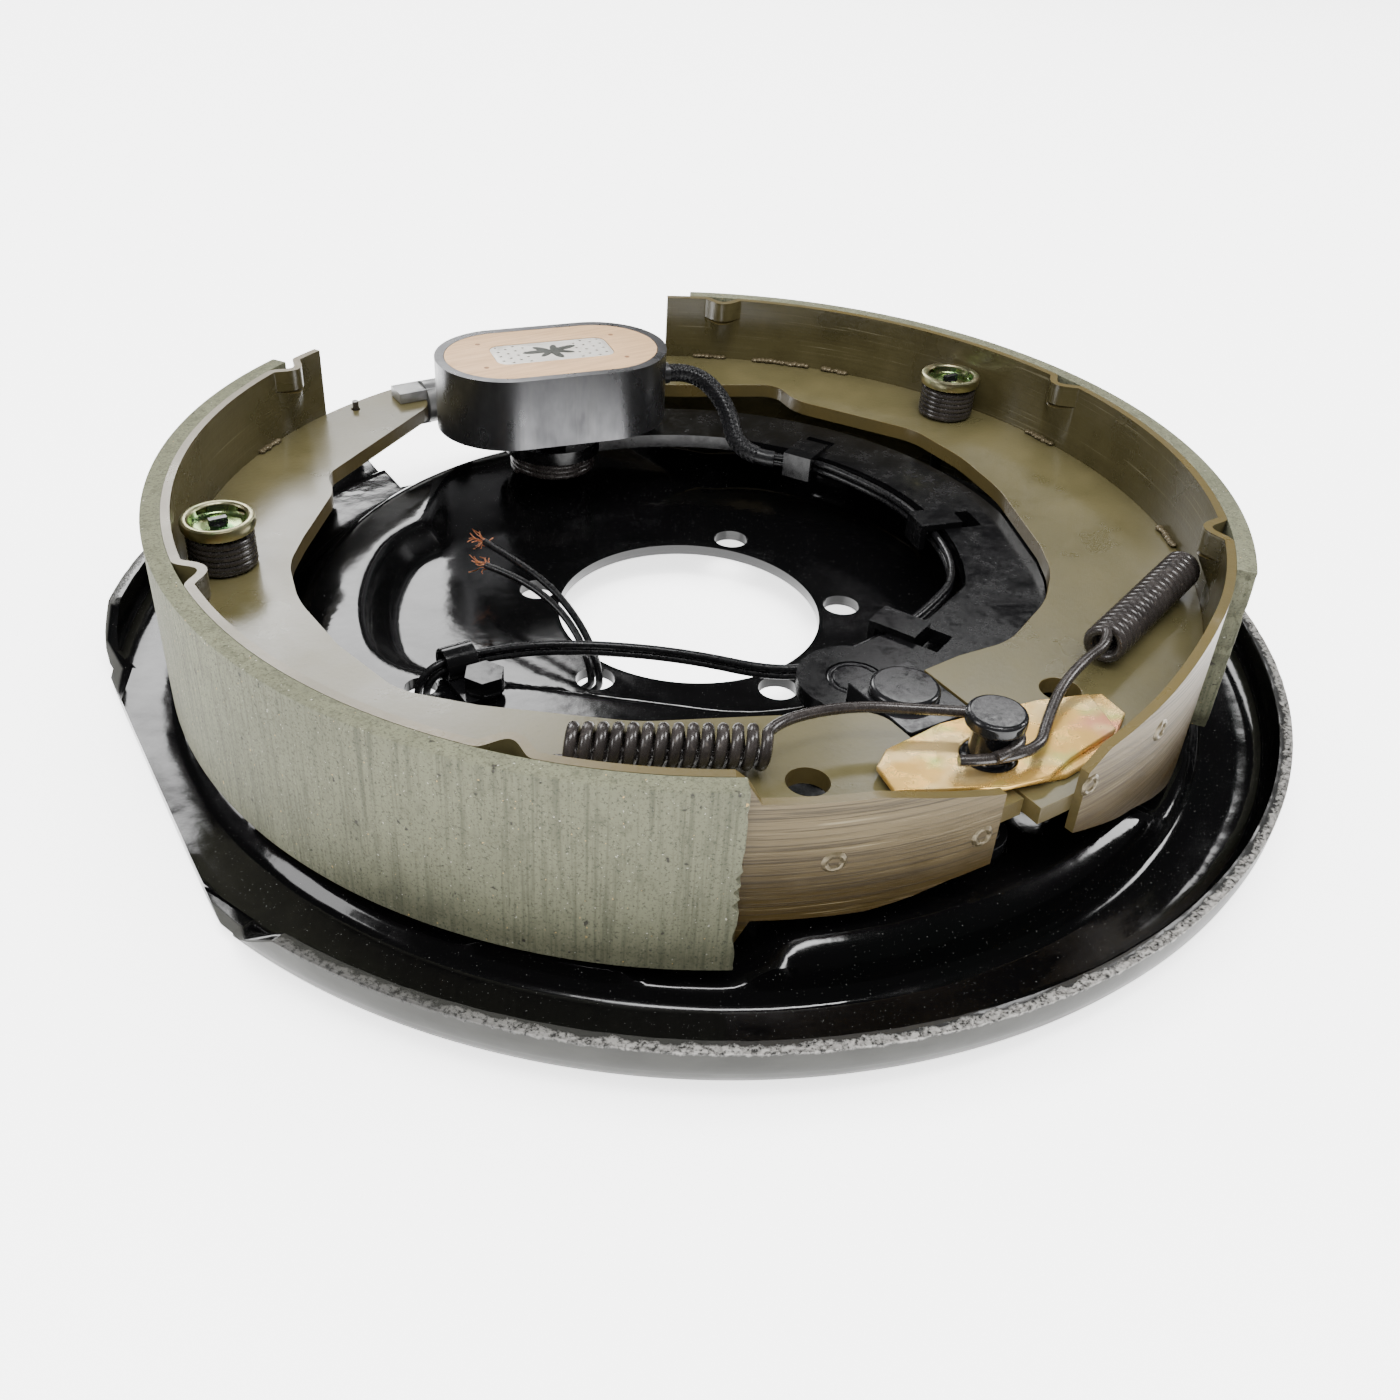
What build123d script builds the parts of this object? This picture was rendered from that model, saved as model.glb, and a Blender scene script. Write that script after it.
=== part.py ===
from build123d import *
from math import cos, degrees, hypot, pi, radians, sin, tan
import os

# Frame: z = 0 is the mounting face of the hub flange, +Z points to the drum,
# +Y points to the anchor post, the primary shoe is on +X, all sizes in mm

# Drum fit
DRUM_R = 152.4
DRUM_GAP = 0.8
LINING_R = DRUM_R - DRUM_GAP
RIM_ROOM = 15.9

# Backing plate, one stamping
SHEET = 3.4
PLATE_BOTTOM_Z = -9.0
FLOOR_Z = PLATE_BOTTOM_Z + SHEET
POCKET_Z = SHEET
RAISED_Z = 11.4
SHELF_Z = -2.0
RAISED_R = 115.0
SHELF_R = LINING_R - 0.6
FLOOR_R = SHELF_R + 3.5
LIP_FOOT_R = LINING_R + RIM_ROOM
LIP_BEND = (4.4, 2.7)
LIP_RISE = (5.8, 7.1)
LIP_TOP_R = LIP_FOOT_R + LIP_RISE[0]
LIP_TOP_Z = 6.4
REACH = 1.2 * LIP_TOP_R
DEEP = 40.0
POCKET_R = 91.3
POCKET_CORNER_R = 12.0
POCKET_SOUTH_Y = -70.0
POCKET_NORTH_Y = 60.0
POCKET_EAST = (50.0, 54.0)
POCKET_WEST = (135.0, 75.0)
RAMP_END_Y = -109.0
RAMP_HALF_W = 52.0
CHORD_X = LIP_FOOT_R - 3.5
LIP_TAPER_Y = {1: (60.0, 79.0), -1: (60.0, 79.0)}
NOTCH_X = (-46.0, 45.0)
NOTCH_Y = -128.0
ANCHOR_PAD_R = SHELF_R - 4.5
ANCHOR_PAD_Z = 7.4
ANCHOR_PAD_DEG = (66.5, 109.5)
SHOE_PAD_Z = 2.3
SHOE_PAD_R = (SHELF_R - 12.0, SHELF_R - 2.0)
SHOE_PAD_DEG = (-38.0, 4.0, 46.0)
SHOE_PAD_SPAN = 12.0

# Hub flange
HUB_BORE_R = 40.7
BOLT_R = 5.7
BOLT_CIRCLE_R = 48.7
BOLT_DEG = (90.0, 24.5, 155.5, -41.0, 221.0)
MARKS = ((-75.0, -1.0, 6.0), (-75.0, 13.0, 3.5))
MARK_DEPTH = 0.5

# Shoes
LINING_T = 5.3
TABLE_R = LINING_R - LINING_T
TABLE_T = 2.4
LINING_W = 50.8
SHOE_Z = 2.6
WEB_T = 4.8
WEB_Z = SHOE_Z + LINING_W / 2 - WEB_T / 2
WEB_TOP_Z = WEB_Z + WEB_T
PRIMARY_C = (2.6, -2.5)
SECONDARY_C = (-2.0, 2.0)
PRIMARY_TABLE_DEG = (-62.5, 87.7)
SECONDARY_TABLE_DEG = (94.0, 243.5)
PRIMARY_LINING_DEG = (-57.0, 63.2)
SECONDARY_LINING_DEG = (128.3, 240.0)
NECK_DEG = 75.0
PRIMARY_NECK = (((-30.0, 0.0), (-28.0, 9.9), (0.0, 9.2), (10.7, 10.7), (19.7, 12.7), (31.0, 13.6), (40.0, 13.6)),
                ((-30.0, 0.0), (-28.0, 7.6), (-0.5, 8.5), (6.0, 9.9), (31.8, 16.4), (40.0, 16.4)))
SECONDARY_NECK = (((-30.0, 0.0), (0.0, 11.0), (9.0, 12.6), (31.0, 18.5), (40.0, 18.5)),
                  ((-30.0, 0.0), (0.0, 6.8), (21.9, 10.7), (28.0, 15.5), (40.0, 15.5)))
CRIMP = ((-7.6, -1.0), (-6.6, 0.0), (-2.2, 4.6), (2.2, 4.6), (6.6, 0.0), (7.6, -1.0))
CRIMP_H = 7.0
PRIMARY_CRIMP_DEG = (-56.0, -0.5, 43.3)
SECONDARY_CRIMP_DEG = (137.6, 180.2, 235.1)
WEB_SPLIT = 0.5
WEB_HOLE_R = 5.3
WEB_HOLE_X = 39.8
WEB_HOLE_Y = 113.2
PRIMARY_EDGE = ((33.3, -141.0), (33.3, -122.5), (85.0, -85.0), (86.0, -74.0), (104.5, -49.0), (113.0, -36.0),
                (117.0, -16.0), (115.0, 10.0), (109.0, 36.0), (94.0, 51.0), (63.0, 75.0), (35.0, 87.0),
                (7.7, 99.0), (7.7, 113.0), (-0.5, 121.0))
SECONDARY_EDGE = ((-33.3, -141.0), (-33.3, -118.0), (-51.0, -102.0), (-89.0, -84.0), (-87.0, -69.0),
                  (-110.0, -29.0), (-110.0, -4.0), (-105.0, 20.0), (-90.0, 54.0), (-82.0, 67.0), (-68.0, 79.0),
                  (-44.0, 90.0), (-27.0, 89.0), (-14.3, 90.0), (-14.3, 113.0), (-1.5, 121.0))

# Anchor post and what sits on it
ANCHOR_XY = (-1.0, 128.0)
POST_R = 6.6
POST_GAP = 0.5
POST_FOOT_R = 8.8
POST_FOOT_H = 4.0
GUIDE_T = 1.6
GUIDE_GAP = 0.15
GUIDE_Z = WEB_TOP_Z + GUIDE_GAP
GUIDE_UPPER = ((25.0, 119.0), (27.0, 128.0), (3.0, 139.0), (-8.0, 141.0), (-18.0, 138.0), (-36.0, 135.0),
               (-41.0, 121.0), (-28.0, 117.0), (1.0, 113.0), (19.0, 115.0))
GUIDE_LOWER = ((24.0, 121.0), (20.0, 130.0), (4.0, 137.0), (-14.0, 141.0), (-30.0, 139.0), (-45.0, 130.0),
               (-46.0, 121.0), (-30.0, 115.5), (0.0, 114.0), (14.0, 115.5))
POST_NECK_R = 5.0
POST_NECK_Z = GUIDE_Z + 2 * GUIDE_T + GUIDE_GAP
POST_CAP_Z = 43.0
POST_CAP_R = 7.2
POST_CAP_H = 3.4

# Actuating arm, block and magnet
PIVOT_XY = (-1.5, 78.6)
PIVOT_R = 7.8
PIVOT_GAP = 0.1
PIVOT_FOOT_R = 9.8
PIVOT_GROOVE_R = 5.8
ARM_T = 4.5
ARM_Z = 20.4
ARM_TOP_Z = ARM_Z + ARM_T
ARM_R = (82.0, 105.0)
ARM_DEG = (112.0, 272.0)
ARM_NECK = ((-61.0, 55.0), (-39.0, 64.5), (-12.0, 66.0), (2.0, 80.0), (-3.0, 103.0), (-12.0, 103.5), (-39.3, 97.3),
            (-70.0, 78.0))
EYE_R = 15.5
RIVET_XY = (-3.0, 95.6)
RIVET_R = 4.0
RIVET_LOBE_R = 9.0
RIVET_HEAD_R = 9.1
RIVET_HEAD_H = 2.4
RIVET_TAIL_H = 2.0
BLOCK_X = (-13.6, 7.0)
BLOCK_Y = (84.6, 110.0)
BLOCK_GAP = 0.2
BLOCK_Z = ARM_TOP_Z + BLOCK_GAP
BLOCK_T = 5.3
BLOCK_CORNER_R = 1.5
TAB_W = 10.0
TAB_T = 2.0
TABS = ((-151.0, 82.0), (165.4, 82.0), (113.5, 71.2))
TAB_REACH = 8.2
TAB_ROOT = 6.0
TAB_HOLE = 7.0
TAB_DROP = 6.5
MAGNET_XY = (0.3, -92.8)
MAGNET_TURN = -11.0
MAGNET_L = 80.0
MAGNET_W = 48.0
MAGNET_Z = 31.2
MAGNET_H = 24.0
MAGNET_WALL = 3.2
MAGNET_FLOOR = 3.0
RING_IN = 9.5
RING_H = 5.0
COIL_GAP = 0.5
CLIP_T = 0.6
CLIP_SINK = 1.0
STAR_CLIP_R = 7.0
GLAND_Z = 43.0
GLAND_R = 3.6
GLAND_REACH = 2.5
STUD_R = 4.8
STUD_GAP = 0.1
STUD_HEAD_R = 8.0
STUD_HEAD_H = 2.0
STUD_IN_CORE = 12.0
STUD_LOBE_R = 17.0
MSPRING_TURNS = 4
MSPRING_R = 15.0
MSPRING_WIRE_R = 1.3
MSPRING_Z = 12.3

# Hold-downs
HOLD_XY = {1: (128.9, -44.1), -1: (-129.4, -35.6)}
HOLD_PIN_R = 2.0
HOLD_PLAY = 4.6
HOLD_HEAD_R = 5.5
HOLD_HEAD_H = 1.6
HOLD_SPRING_R = 9.5
HOLD_WIRE_R = 1.15
CUP_R = 10.4
CUP_FLOOR_Z = 42.2
HOLD_GAP = 0.3
HOLD_TURNS = 6
CUP_H = 3.4
CUP_WALL = 1.0
CUP_SLOT = (5.2, 2.0)

# Return springs, hooks first run from the anchor post
WIRE_R = 1.4
SPRING_R = 5.6
COIL_Z = 37.2
HOOK_HIGH_Z = 39.2
HOOK_LOW_Z = 35.6
HOOK_OFF = POST_NECK_R + WIRE_R + 0.2
TAIL_Z = WEB_Z - 2.0
PRIMARY_TURNS = 14
SECONDARY_TURNS = 20
PRIMARY_COIL = ((46.4, 105.0, COIL_Z), (86.9, 82.8, COIL_Z))
SECONDARY_COIL = ((-56.0, 110.2, COIL_Z), (-107.5, 91.4, COIL_Z))
PRIMARY_HOOK_XY = (94.5, 78.6)
SECONDARY_HOOK_XY = (-113.0, 87.0)
COIL_MID_R = SPRING_R - WIRE_R
POST_X, POST_Y = ANCHOR_XY
PRIMARY_HOOKS = (
    ((POST_X + 5.0, POST_Y + HOOK_OFF, HOOK_HIGH_Z), (POST_X - HOOK_OFF, POST_Y + HOOK_OFF, HOOK_HIGH_Z),
     (POST_X - HOOK_OFF, POST_Y - HOOK_OFF, HOOK_HIGH_Z), (8.0, 111.5, HOOK_HIGH_Z), (22.0, 103.8, 40.0),
     (41.0, 101.8, 41.2), (49.5, 103.3, COIL_Z + COIL_MID_R)),
    ((84.5, 84.1, COIL_Z - COIL_MID_R), (*PRIMARY_HOOK_XY, COIL_Z - COIL_MID_R), (*PRIMARY_HOOK_XY, TAIL_Z)))
PRIMARY_BENDS = ((HOOK_OFF - 0.3, HOOK_OFF - 0.3, 12.0, 12.0, 8.0), (2.6,))
SECONDARY_HOOKS = (
    ((POST_X + HOOK_OFF, POST_Y - 4.0, HOOK_LOW_Z), (POST_X + HOOK_OFF, POST_Y + HOOK_OFF, HOOK_LOW_Z),
     (POST_X - 6.0, POST_Y + HOOK_OFF, HOOK_LOW_Z), (-30.0, 124.7, COIL_Z - 0.2), (-61.2, 112.6, COIL_Z)),
    ((-104.0, 91.6, COIL_Z - COIL_MID_R), (*SECONDARY_HOOK_XY, COIL_Z - COIL_MID_R), (*SECONDARY_HOOK_XY, TAIL_Z)))
SECONDARY_BENDS = ((HOOK_OFF - 0.3, 12.0, 12.0), (2.6,))

# Adjuster
ADJ_Y = -131.0
ADJ_Z = WEB_Z + WEB_T / 2
ADJ_BODY_R = 7.5
ADJ_STUD_R = 4.5
ADJ_GAP = 0.1
STAR_R = 11.0
STAR_ROOT_R = 9.4
STAR_TEETH = 16
STAR_TOOTH_W = 1.7
STAR_X = (17.0, 23.0)
SOCKET_X = (23.4, 33.0)
NUT_X = (-33.0, 16.6)
STUD_X = (-13.0, 31.0)
PILOT_X = 31.0
FORK_LEN = 10.0
FORK_GAP = 0.3
FORK_W = 9.0
FORK_H = 12.6
ADJ_COIL_R = 4.8
ADJ_WIRE_R = 1.1
ADJ_TURNS = 16
ADJ_COIL_Y = -142.5
ADJ_COIL_Z = 16.0
ADJ_WIRE_Z = ADJ_COIL_Z + ADJ_COIL_R - ADJ_WIRE_R
ADJ_HOOK_XY = (58.5, -130.0)
ADJ_COIL = ((-22.0, ADJ_COIL_Y, ADJ_COIL_Z), (22.0, ADJ_COIL_Y, ADJ_COIL_Z))
ADJ_HOOKS = tuple(
    ((side * 19.5, ADJ_COIL_Y, ADJ_WIRE_Z), (side * 32.0, ADJ_COIL_Y, ADJ_WIRE_Z),
     (side * ADJ_HOOK_XY[0], ADJ_HOOK_XY[1], ADJ_WIRE_Z + 0.4),
     (side * ADJ_HOOK_XY[0], ADJ_HOOK_XY[1], WEB_TOP_Z + 3.0)) for side in (1, -1))
ADJ_BENDS = ((8.0, 2.6), (8.0, 2.6))

# Leads and the cable clip
LEAD_D = 2.2
LEAD_OFFSET = 1.2
SLEEVE_D = 5.6
GLAND_OUT = MAGNET_L / 2 + GLAND_REACH
GLAND_XY = (MAGNET_XY[0] - GLAND_OUT * cos(radians(MAGNET_TURN)), MAGNET_XY[1] - GLAND_OUT * sin(radians(MAGNET_TURN)))
SLEEVE_PATH = ((*GLAND_XY, GLAND_Z), (-51.5, -82.73, GLAND_Z), (-55.0, -66.0, 36.0), (-52.5, -54.0, 22.2),
               (-62.0, -45.18, 22.2))
ARM_LEAD_PATH = ((-62.0, -45.18, 22.2), (-66.4, -41.1, 22.2), (-74.5, -31.0, 22.2), (-81.5, 7.1, 22.2),
                 (-67.0, 46.9, 22.2), (-40.0, 60.0, 22.2), (-27.5, 63.1, 22.0), (-12.0, 62.8, 19.0),
                 (-4.0, 60.5, 16.6))
LEAD_UPPER_PATH = ((-4.0, 60.5, 17.8), (4.0, 58.2, 15.4), (25.0, 33.5, 15.1), (52.0, 16.0, 15.7), (73.0, 12.0, 17.6),
                   (95.2, 11.8, 17.6), (95.2, 11.8, -3.9), (43.1, 20.4, -3.9), (43.1, 20.4, 7.0),
                   (41.5, 8.0, 12.5), (42.0, -8.0, 16.5), (45.5, -26.0, 18.5), (49.0, -44.0, 17.5))
LEAD_LOWER_PATH = ((-4.0, 60.5, 15.4), (4.0, 58.2, 13.0), (25.0, 33.5, 12.7), (52.0, 16.0, 13.3), (73.0, 12.0, 15.2),
                   (92.8, 11.9, 15.2), (92.8, 11.9, -1.5), (45.5, 19.9, -1.5), (45.5, 19.9, 7.0),
                   (44.5, 10.0, 12.5), (45.5, -2.0, 16.5), (50.0, -18.0, 18.8), (55.5, -29.0, 18.5))
CLIP_XY = (83.0, 12.0)
CLIP_LOOP_Z = 16.4
CLIP_LOOP_R = 4.9
CLIP_BAND_T = 1.1
CLIP_BAND_W = 9.0
SCREW_XY = (80.0, 22.9)
SCREW_R = 3.0
SCREW_HEX = 10.0
SCREW_HEAD_H = 5.0
LEAD_HOLE_XY = (94.0, 11.8)
LEAD_HOLE_R = 4.5


def polar(radius, angle, center=(0.0, 0.0)):
    return (center[0] + radius * cos(radians(angle)), center[1] + radius * sin(radians(angle)))


def mitred(points, amount):
    """The same open line moved sideways by amount, corners kept sharp."""
    moved = []
    for i, (x, y) in enumerate(points):
        normals = []
        for a, b in ((i - 1, i), (i, i + 1)):
            if a >= 0 and b < len(points):
                dx = points[b][0] - points[a][0]
                dy = points[b][1] - points[a][1]
                size = hypot(dx, dy)
                normals.append((dy / size, -dx / size))
        nx = sum(n[0] for n in normals)
        ny = sum(n[1] for n in normals)
        scale = amount * len(normals) / (nx * nx + ny * ny)
        moved.append((x + nx * scale, y + ny * scale))
    return moved


def plate(points, z, height):
    """A flat piece from an outline, its bottom face at z."""
    with BuildPart() as piece:
        with BuildSketch(Plane.XY.offset(z)):
            with BuildLine():
                Polyline(*points, close=True)
            make_face()
        extrude(amount=height)
    return piece.part


def cylinder(xy, z, radius, height):
    with BuildPart() as piece:
        with BuildSketch(Plane.XY.offset(z)):
            with Locations(xy):
                Circle(radius)
        extrude(amount=height)
    return piece.part


def box(x0, x1, y0, y1, z0, z1):
    return Pos(x0, y0, z0) * Box(x1 - x0, y1 - y0, z1 - z0, align=(Align.MIN, Align.MIN, Align.MIN))


def turned(profile, start=0.0, span=360.0, center=(0.0, 0.0)):
    """Revolve an (r, z) outline about a vertical axis through center."""
    with BuildPart() as piece:
        with BuildSketch(Plane.XZ):
            with BuildLine():
                Polyline(*profile, close=True)
            make_face()
        revolve(axis=Axis.Z, revolution_arc=span)
    return Pos(center[0], center[1], 0) * Rot(0, 0, start) * piece.part


def ring_sector(r0, r1, a0, a1, z, height, center):
    return turned(((r0, z), (r1, z), (r1, z + height), (r0, z + height)), a0, a1 - a0, center)


def wire(points, radius, bends, name):
    """A round wire along straight runs joined by tangent arcs."""
    with BuildLine() as run:
        FilletPolyline(*points, radius=bends)
    path = run.wire()
    with BuildPart() as piece:
        with BuildSketch(Plane(origin=path @ 0, z_dir=path % 0)):
            Circle(radius)
        sweep(path=path)
    wanted = pi * radius * radius * path.length
    print(name, "bend radii", [round(b, 1) for b in bends], "length", round(path.length, 1),
          "volume ratio", round(piece.part.volume / wanted, 4))
    return piece.part


def soft_bends(points, share=0.45, largest=40.0):
    """Bend radius at each inner point: a share of the shorter run over tan(half turn)."""
    radii = []
    for i in range(1, len(points) - 1):
        a, b, c = Vector(*points[i - 1]), Vector(*points[i]), Vector(*points[i + 1])
        half = (b - a).get_angle(c - b) / 2
        short = min((b - a).length, (c - b).length)
        radii.append(min(largest, share * short / tan(radians(half))))
    return radii


def ridged_tube(length, outer_r, wire_r, turns):
    """A spring as a tube with one ridge for each turn, along +Z from the origin."""
    pitch = length / turns
    inner = outer_r - 2 * wire_r
    outside = []
    for i in range(turns):
        outside.append((outer_r - wire_r * 0.8, i * pitch))
        outside.append((outer_r, (i + 0.5) * pitch))
    outside.append((outer_r - wire_r * 0.8, length))
    return turned([(inner, 0.0)] + outside + [(inner, length)])


def along(piece, start, end):
    """Put a piece made along +Z between two points."""
    direction = Vector(*end) - Vector(*start)
    return Plane(origin=start, z_dir=direction).location * piece


# Backing plate
def pocket(floor_z, grow, top_z):
    """The sunk centre with 45 degree walls and its long ramp on the magnet side."""
    radius = POCKET_R + grow
    rise = top_z - floor_z
    with BuildPart() as hollow:
        with BuildSketch(Plane.XY.offset(floor_z)) as outline:
            Circle(radius)
            with Locations((0, (POCKET_NORTH_Y + POCKET_SOUTH_Y) / 2)):
                Rectangle(2 * REACH, POCKET_NORTH_Y - POCKET_SOUTH_Y + 2 * grow, mode=Mode.INTERSECT)
            for angle, reach in (POCKET_EAST, POCKET_WEST):
                with Locations(Pos(*polar(reach + grow + REACH / 2, angle)) * Rot(0, 0, angle)):
                    Rectangle(REACH, 2 * REACH, mode=Mode.SUBTRACT)
            fillet(outline.vertices(), POCKET_CORNER_R + grow)
        extrude(amount=rise, taper=-45)
    sections = []
    slope = (RAISED_Z - POCKET_Z) / (POCKET_SOUTH_Y - RAMP_END_Y)
    for y, half in ((POCKET_SOUTH_Y + 1.0, RAMP_HALF_W), (RAMP_END_Y - 3.0, RAMP_HALF_W * 0.6)):
        low = floor_z + (POCKET_SOUTH_Y - y) * slope
        high = top_z + 8.0
        wide = half + grow + high - low
        with BuildSketch(Plane.XZ.offset(-y)) as section:
            with BuildLine():
                Polyline((-half - grow, low), (half + grow, low), (wide, high), (-wide, high), close=True)
            make_face()
        sections.append(section.sketch)
    return hollow.part + loft(sections, ruled=True)


def sheet_profile():
    """The stamping cut along a radius, with its middle still level."""
    fall = RAISED_Z - SHELF_Z
    upper = [(0.0, RAISED_Z), (RAISED_R, RAISED_Z), (RAISED_R + fall, SHELF_Z), (SHELF_R, SHELF_Z),
             (FLOOR_R, FLOOR_Z), (LIP_FOOT_R, FLOOR_Z)]
    upper += [(LIP_FOOT_R + out, FLOOR_Z + up) for out, up in (LIP_BEND, LIP_RISE)] + [(LIP_TOP_R, LIP_TOP_Z)]
    return upper + mitred(upper, SHEET)[::-1]


def raised_pad(inner, outer, top, middle, span, drop):
    """A flat pad pressed up out of the shoe shelf, its sides at 45 degrees."""
    low = SHELF_Z - SHEET - drop
    rise = top - drop - low
    return turned([(inner - rise, low), (inner, top - drop), (outer, top - drop), (outer + rise, low)],
                  middle - span / 2, span)


def backing_plate():
    mitre = SHEET * tan(radians(22.5))
    body = turned(sheet_profile())
    inside = pocket(POCKET_Z, 0.0, RAISED_Z)
    shell = pocket(POCKET_Z - SHEET, mitre, RAISED_Z)
    slab = box(-REACH, REACH, -REACH, REACH, -DEEP, RAISED_Z)
    body = body - inside + ((shell & slab) - inside)
    low, high = ANCHOR_PAD_DEG
    pads = [(RAISED_R + 2, ANCHOR_PAD_R, ANCHOR_PAD_Z, (low + high) / 2, high - low)]
    for angle in SHOE_PAD_DEG:
        for middle in (angle, 180 - angle):
            pads.append((SHOE_PAD_R[0], SHOE_PAD_R[1], SHOE_PAD_Z, middle, SHOE_PAD_SPAN))
    for inner, outer, top, middle, span in pads:
        thin = 2 * degrees(SHEET / outer)
        body += raised_pad(inner, outer, top, middle, span, 0.0)
        body -= raised_pad(inner + mitre, outer - mitre, top, middle, span - thin, SHEET)
    holes = [((0, 0), HUB_BORE_R), (SCREW_XY, SCREW_R + 0.2), (LEAD_HOLE_XY, LEAD_HOLE_R)]
    holes += [(polar(BOLT_CIRCLE_R, angle), BOLT_R) for angle in BOLT_DEG]
    holes += [(HOLD_XY[side], HOLD_PIN_R + 0.6) for side in (1, -1)]
    cuts = [cylinder(xy, -DEEP, radius, 2 * DEEP) for xy, radius in holes]
    cuts += [cylinder((x, y), POCKET_Z - MARK_DEPTH, radius, SHEET) for x, y, radius in MARKS]
    cuts += [box(CHORD_X, REACH, -REACH, REACH, -DEEP, DEEP), box(NOTCH_X[0], NOTCH_X[1], -REACH, NOTCH_Y, -DEEP, DEEP)]
    for side, (taper_y, full_y) in LIP_TAPER_Y.items():
        with BuildPart() as taper:
            with BuildSketch(Plane.YZ.offset(CHORD_X - 24)):
                with BuildLine():
                    Polyline((side * (taper_y - 4), FLOOR_Z), (side * taper_y, FLOOR_Z),
                             (side * full_y, LIP_TOP_Z + 0.5), (side * (taper_y - 4), LIP_TOP_Z + 0.5), close=True)
                make_face()
            extrude(amount=60)
        cuts.append(taper.part & turned([(LIP_FOOT_R, -DEEP), (REACH, -DEEP), (REACH, DEEP), (LIP_FOOT_R, DEEP)]))
    for cut in cuts:
        body -= cut
    return body


# Anchor post and guide plates
def anchor_post():
    shaft = [(0.0, ANCHOR_PAD_Z), (POST_FOOT_R, ANCHOR_PAD_Z), (POST_FOOT_R, ANCHOR_PAD_Z + POST_FOOT_H),
             (POST_R, ANCHOR_PAD_Z + POST_FOOT_H), (POST_R, POST_NECK_Z), (POST_NECK_R, POST_NECK_Z),
             (POST_NECK_R, POST_CAP_Z - 1.4), (POST_CAP_R, POST_CAP_Z), (POST_CAP_R, POST_CAP_Z + POST_CAP_H - 0.7),
             (POST_CAP_R - 0.7, POST_CAP_Z + POST_CAP_H), (0.0, POST_CAP_Z + POST_CAP_H)]
    return turned(shaft, center=ANCHOR_XY)


def guide_plate(outline, z):
    body = plate(outline, z, GUIDE_T)
    return body - cylinder(ANCHOR_XY, z - 1, POST_R + 0.1, GUIDE_T + 2)


# Shoes
def neck_cut(outline, edge_z, sign, mirror, middle, center):
    """What is cut away beside the narrow end of a table."""
    far = edge_z - sign * 12
    points = [(mirror * t, edge_z + sign * s) for t, s in outline]
    points += [(mirror * outline[-1][0], far), (mirror * outline[0][0], far)]
    where = Plane(origin=(*polar(TABLE_R - 14, middle, center), 0),
                  x_dir=(-sin(radians(middle)), cos(radians(middle)), 0),
                  z_dir=(cos(radians(middle)), sin(radians(middle)), 0))
    with BuildPart() as piece:
        with BuildSketch(where):
            with BuildLine():
                Polyline(*points, close=True)
            make_face()
        extrude(amount=30)
    return piece.part


def shoe_table(center, span, crimps, neck, neck_deg, mirror):
    body = ring_sector(TABLE_R - TABLE_T, TABLE_R, span[0], span[1], SHOE_Z, LINING_W, center)
    top = SHOE_Z + LINING_W
    for angle in crimps:
        seat = Pos(*polar(TABLE_R, angle, center), 0) * Rot(0, 0, angle + 90)
        strip = plate(list(CRIMP) + mitred(CRIMP, -TABLE_T)[::-1], top - CRIMP_H, CRIMP_H)
        body -= seat * plate(CRIMP, top - CRIMP_H, CRIMP_H)
        body += (seat * strip) & cylinder(center, top - CRIMP_H, TABLE_R, CRIMP_H)
    body -= neck_cut(neck[0], SHOE_Z, 1, mirror, neck_deg, center)
    body -= neck_cut(neck[1], top, -1, mirror, neck_deg, center)
    return body


def shoe_web(center, inner_edge, side, hook_xy):
    rim = TABLE_R - TABLE_T
    split = ANCHOR_XY[0] + side * WEB_SPLIT
    beyond = [(split, REACH), (side * REACH, REACH), (side * REACH, -REACH), (inner_edge[0][0], -REACH)]
    body = plate(list(inner_edge) + beyond, WEB_Z, WEB_T)
    body &= cylinder(center, WEB_Z, rim, WEB_T)
    holes = [(ANCHOR_XY, POST_R + POST_GAP), (HOLD_XY[side], HOLD_PIN_R + HOLD_PLAY),
             (hook_xy, WIRE_R + 0.5), ((side * ADJ_HOOK_XY[0], ADJ_HOOK_XY[1]), ADJ_WIRE_R + 0.5),
             ((side * WEB_HOLE_X, WEB_HOLE_Y), WEB_HOLE_R)]
    for xy, radius in holes:
        body -= cylinder(xy, WEB_Z - 1, radius, WEB_T + 2)
    return body


def lining(center, span):
    return ring_sector(TABLE_R, LINING_R, span[0], span[1], SHOE_Z, LINING_W, center)


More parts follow.
